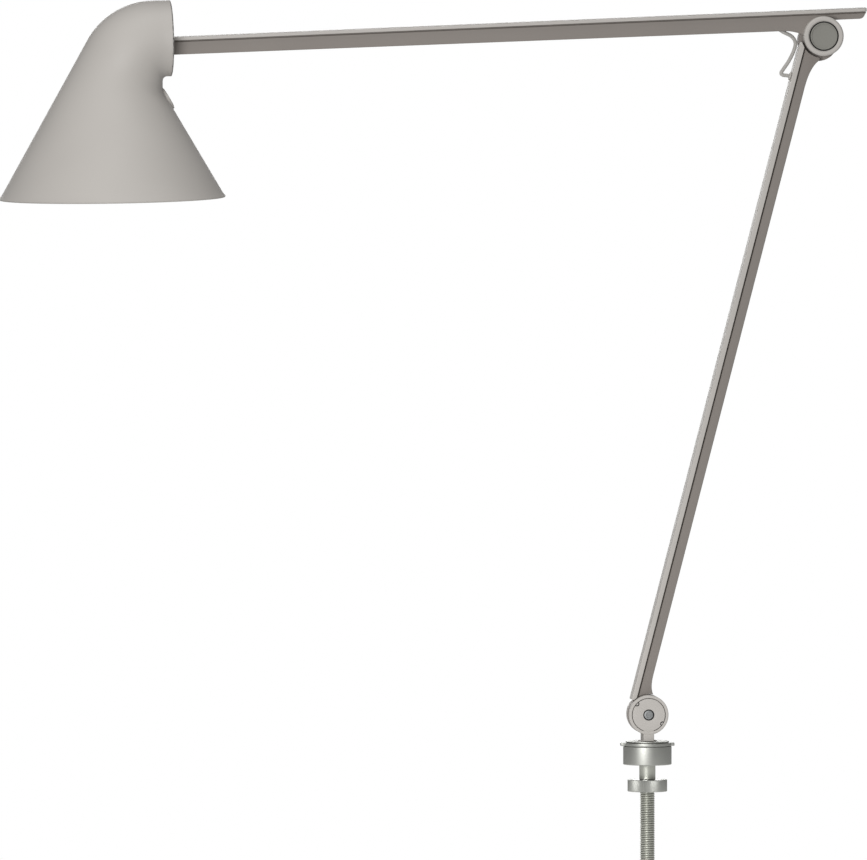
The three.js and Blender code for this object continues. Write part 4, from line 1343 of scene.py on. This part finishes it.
def head_carrier():
    low, high = -51, -48
    edge = inside_radius(high) - 1
    profile = [(0, low), (edge, low, 0.3), (edge, high, 0.3), (0, high)]
    disc = turned("head_carrier", profile, "z", 120)
    vent, vent_ring = 4.5, 33
    vents = []
    for i in range(8):
        angle = math.pi / 4 * i + math.pi / 8
        centre = (vent_ring * math.cos(angle), vent_ring * math.sin(angle), 0)
        vents.append(hole(vent, low - 1, high + 1, "z", 40, centre))
    disc = cut(disc, *vents)
    disc = moved(disc, shift(AXIS_X))
    web = [(3.2, -3.2)]
    web += quadratic((3.2, -3.2), (-2, -20), (-9, high - 1))
    web += [(-35, high - 1)]
    web += quadratic((-35, high - 1), (-18, -22), (-3.6, 2.6))
    web += [(0, 3)]
    plate = slab("web", web, -2, 2, 0.3)
    eye = disc_ring("eye", 0, 4.5, -2, 2, "y", 60, 0.2)
    disc = joined(disc, plate, eye)
    cut(disc, hole(PIN_HOLE, -3, 3, sides=40))
    finished(disc, HEAD, "head", "cast_aluminium", CAST, "head_carrier")


def heat_sink():
    top, low, core, fin, fins = -51.3, -61, 14, 24, 4
    pitch = (top - low) / (fins - 0.5)
    profile = [(0, top)]
    for i in range(fins):
        z = top - i * pitch
        profile += [(fin, z, 0.3), (fin, z - pitch / 2, 0.3)]
        if i < fins - 1:
            profile += [(core, z - pitch / 2, 0.4), (core, z - pitch, 0.4)]
    profile.append((0, low))
    sink = turned("heat_sink", profile, "z", 120)
    finished(sink, LAMP_AXIS, "head", "cast_aluminium", CAST, "heat_sink")


def reflector():
    low, high, clear, sheet = -96.5, -69.6, 0.5, 1.0
    profile = [
        (inside_radius(low) - clear, low, 0.4),
        (inside_radius(high) - clear, high, 0.3),
        (inside_radius(high) - clear - sheet, high, 0.3),
        (inside_radius(low) - clear - sheet, low, 0.4),
    ]
    lining = turned("reflector", profile, "z", 144)
    finished(lining, LAMP_AXIS, "head", "white_aluminium", WHITE, "reflector")


def light_stack():
    board = disc_ring("led_board", 0, 22, -62.9, -61.3, "z", 96, 0.15)
    finished(board, LAMP_AXIS, "head", "circuit_board", BOARD, "led_board")
    clear = 0.6
    low, high = -67, -65
    outer = inside_radius(high) - clear
    profile = [(0, low), (outer, low, 0.4), (outer, high, 0.3), (0, high)]
    diffuser = turned("diffuser", profile, "z", 144)
    finished(diffuser, LAMP_AXIS, "head", "opal_plastic", OPAL, "diffuser")
    ring_high, ring_low = -67.3, -69.3
    edge = inside_radius(ring_high) - clear
    ring = disc_ring("diffuser_ring", edge - 4, edge, ring_low, ring_high, "z", 144, 0.5)
    finished(ring, LAMP_AXIS, "head", "white_aluminium", WHITE, "diffuser_ring")


def carrier_screws():
    ring, head, seat, face = 19, 2.6, -47.7, -46
    profile = [(0, seat), (head, seat), (head, face, 0.6), (0, face)]
    for number, turn in enumerate((90, 200, -20), start=1):
        x, y = ring * math.cos(math.radians(turn)), ring * math.sin(math.radians(turn))
        name = f"carrier_screw_{number}"
        screw = turned(name, profile, "z", 48, 0.1)
        socket = moved(hexagon("socket", 1.3, 0, 1), Matrix.Rotation(math.pi / 2, 4, "X"))
        cut(screw, moved(socket, shift(z=face + 0.2)))
        finished(screw, LAMP_AXIS @ shift(x, y), "head", "spring_steel", SPRING, name)


def switch_group():
    seat = switch_seat()
    bezel = disc_ring("switch_bezel", 7, BEZEL_RADIUS, -2.4, 1, "x", 96, 0.25)
    finished(bezel, seat, "head", "painted_light", LIGHT, "switch_bezel")
    body = disc_ring("switch_body", 0, 7.4, -9, -3.2, "x", 72, 0.3)
    finished(body, seat, "head", "switch_plastic", BLACK_AND_PAINTED_SHADE, "switch_body")
    reach, back, face = 6.7, -1.6, 1.4
    rim, hollow, steps = 5.2, 16, 7  # the hollow is part of a ball of that radius
    dish = [(0, back), (reach, back), (reach, face, 0.35)]
    for i in range(1, steps + 1):
        radius = rim * (1 - i / steps)
        depth = math.sqrt(hollow**2 - radius**2) - math.sqrt(hollow**2 - rim**2)
        dish.append((radius, face - depth, 0))
    button = turned("switch_button", dish, "x", 96, 0.1)
    finished(button, seat, "button", "painted_light", LIGHT, "switch_button")


def head_group():
    shade()
    head_carrier()
    heat_sink()
    reflector()
    light_stack()
    carrier_screws()
    switch_group()


# ------------------------------------------------------------------ floor, light and camera


def floor():
    """A pale round floor that fades into the backdrop."""
    radius, level = 0.42, -0.0915
    bm = bmesh.new()
    bmesh.ops.create_circle(bm, cap_ends=True, segments=96, radius=radius)
    mesh = bpy.data.meshes.new("floor")
    bm.to_mesh(mesh)
    bm.free()
    obj = new_object("floor", mesh)
    obj.location = (0, 0, level)
    material, tree, shader = node_material("floor", (0.9, 0.9, 0.9), 0.9)
    shader.inputs["Emission Color"].default_value = (1, 1, 1, 1)
    shader.inputs["Emission Strength"].default_value = 0.25
    tone = noise(tree, object_coords(tree), 3, 2)
    tree.links.new(
        between(tree, tone, (0.89, 0.89, 0.885), (0.91, 0.91, 0.905)), shader.inputs["Base Color"]
    )
    mesh.materials.append(material)


def area_light(name, location, target, size, power):
    light = bpy.data.lights.new(name, "AREA")
    light.shape = "DISK"
    light.size = size
    light.energy = power
    obj = new_object(name, light)
    obj.location = location
    direction = Vector(target) - Vector(location)
    obj.rotation_mode = "QUATERNION"
    obj.rotation_quaternion = direction.to_track_quat("-Z", "Y")


def studio_light():
    """White behind the lamp, a weaker white all round it, and three large soft lamps."""
    white = (1, 1, 1, 1)
    world = bpy.data.worlds.new("studio")
    world.use_nodes = True
    tree = world.node_tree
    background = tree.nodes["Background"]
    background.inputs["Color"].default_value = white
    background.inputs["Strength"].default_value = 0.3
    seen = add(tree, "ShaderNodeBackground", Strength=1.0)
    seen.inputs["Color"].default_value = white
    path = add(tree, "ShaderNodeLightPath")
    mix = add(tree, "ShaderNodeMixShader")
    tree.links.new(path.outputs["Is Camera Ray"], mix.inputs["Fac"])
    tree.links.new(background.outputs["Background"], mix.inputs[1])
    tree.links.new(seen.outputs["Background"], mix.inputs[2])
    tree.links.new(mix.outputs["Shader"], tree.nodes["World Output"].inputs["Surface"])
    bpy.context.scene.world = world
    middle = (-0.14, 0, 0.22)
    area_light("front", (-1.05, -2.25, 0.5), middle, 1.2, 35)
    area_light("above", (-0.2, -0.6, 2.6), middle, 1.4, 15)
    area_light("behind", (-0.2, 2.6, 0.7), middle, 1.2, 14)


def camera():
    """A long lens at the view's angle: the frame is 0.5691 m wide at the lamp."""
    azimuth, elevation = math.radians(-5.5), math.radians(2.8)
    distance, width = 24.0, 0.5691
    right = Vector((math.cos(azimuth), math.sin(azimuth), 0))
    lean = math.sin(elevation)
    up = Vector((-lean * math.sin(azimuth), lean * math.cos(azimuth), math.cos(elevation)))
    back = right.cross(up)
    data = bpy.data.cameras.new("camera")
    data.sensor_width = 36
    data.lens = data.sensor_width * distance / width
    data.clip_end = 60
    obj = new_object("camera", data)
    obj.location = right * -0.14037 + up * 0.2195 + back * distance
    obj.rotation_mode = "QUATERNION"
    obj.rotation_quaternion = (-back).to_track_quat("-Z", "Y")
    bpy.context.scene.camera = obj
    bpy.context.scene.view_settings.view_transform = "Standard"


clamp()
knuckle_group()
lower_beam()
lower_cover()
lead_grommet()
upper_beam()
upper_cover()
leads()
elbow_group()
hinge_group()
head_group()
floor()
studio_light()
camera()
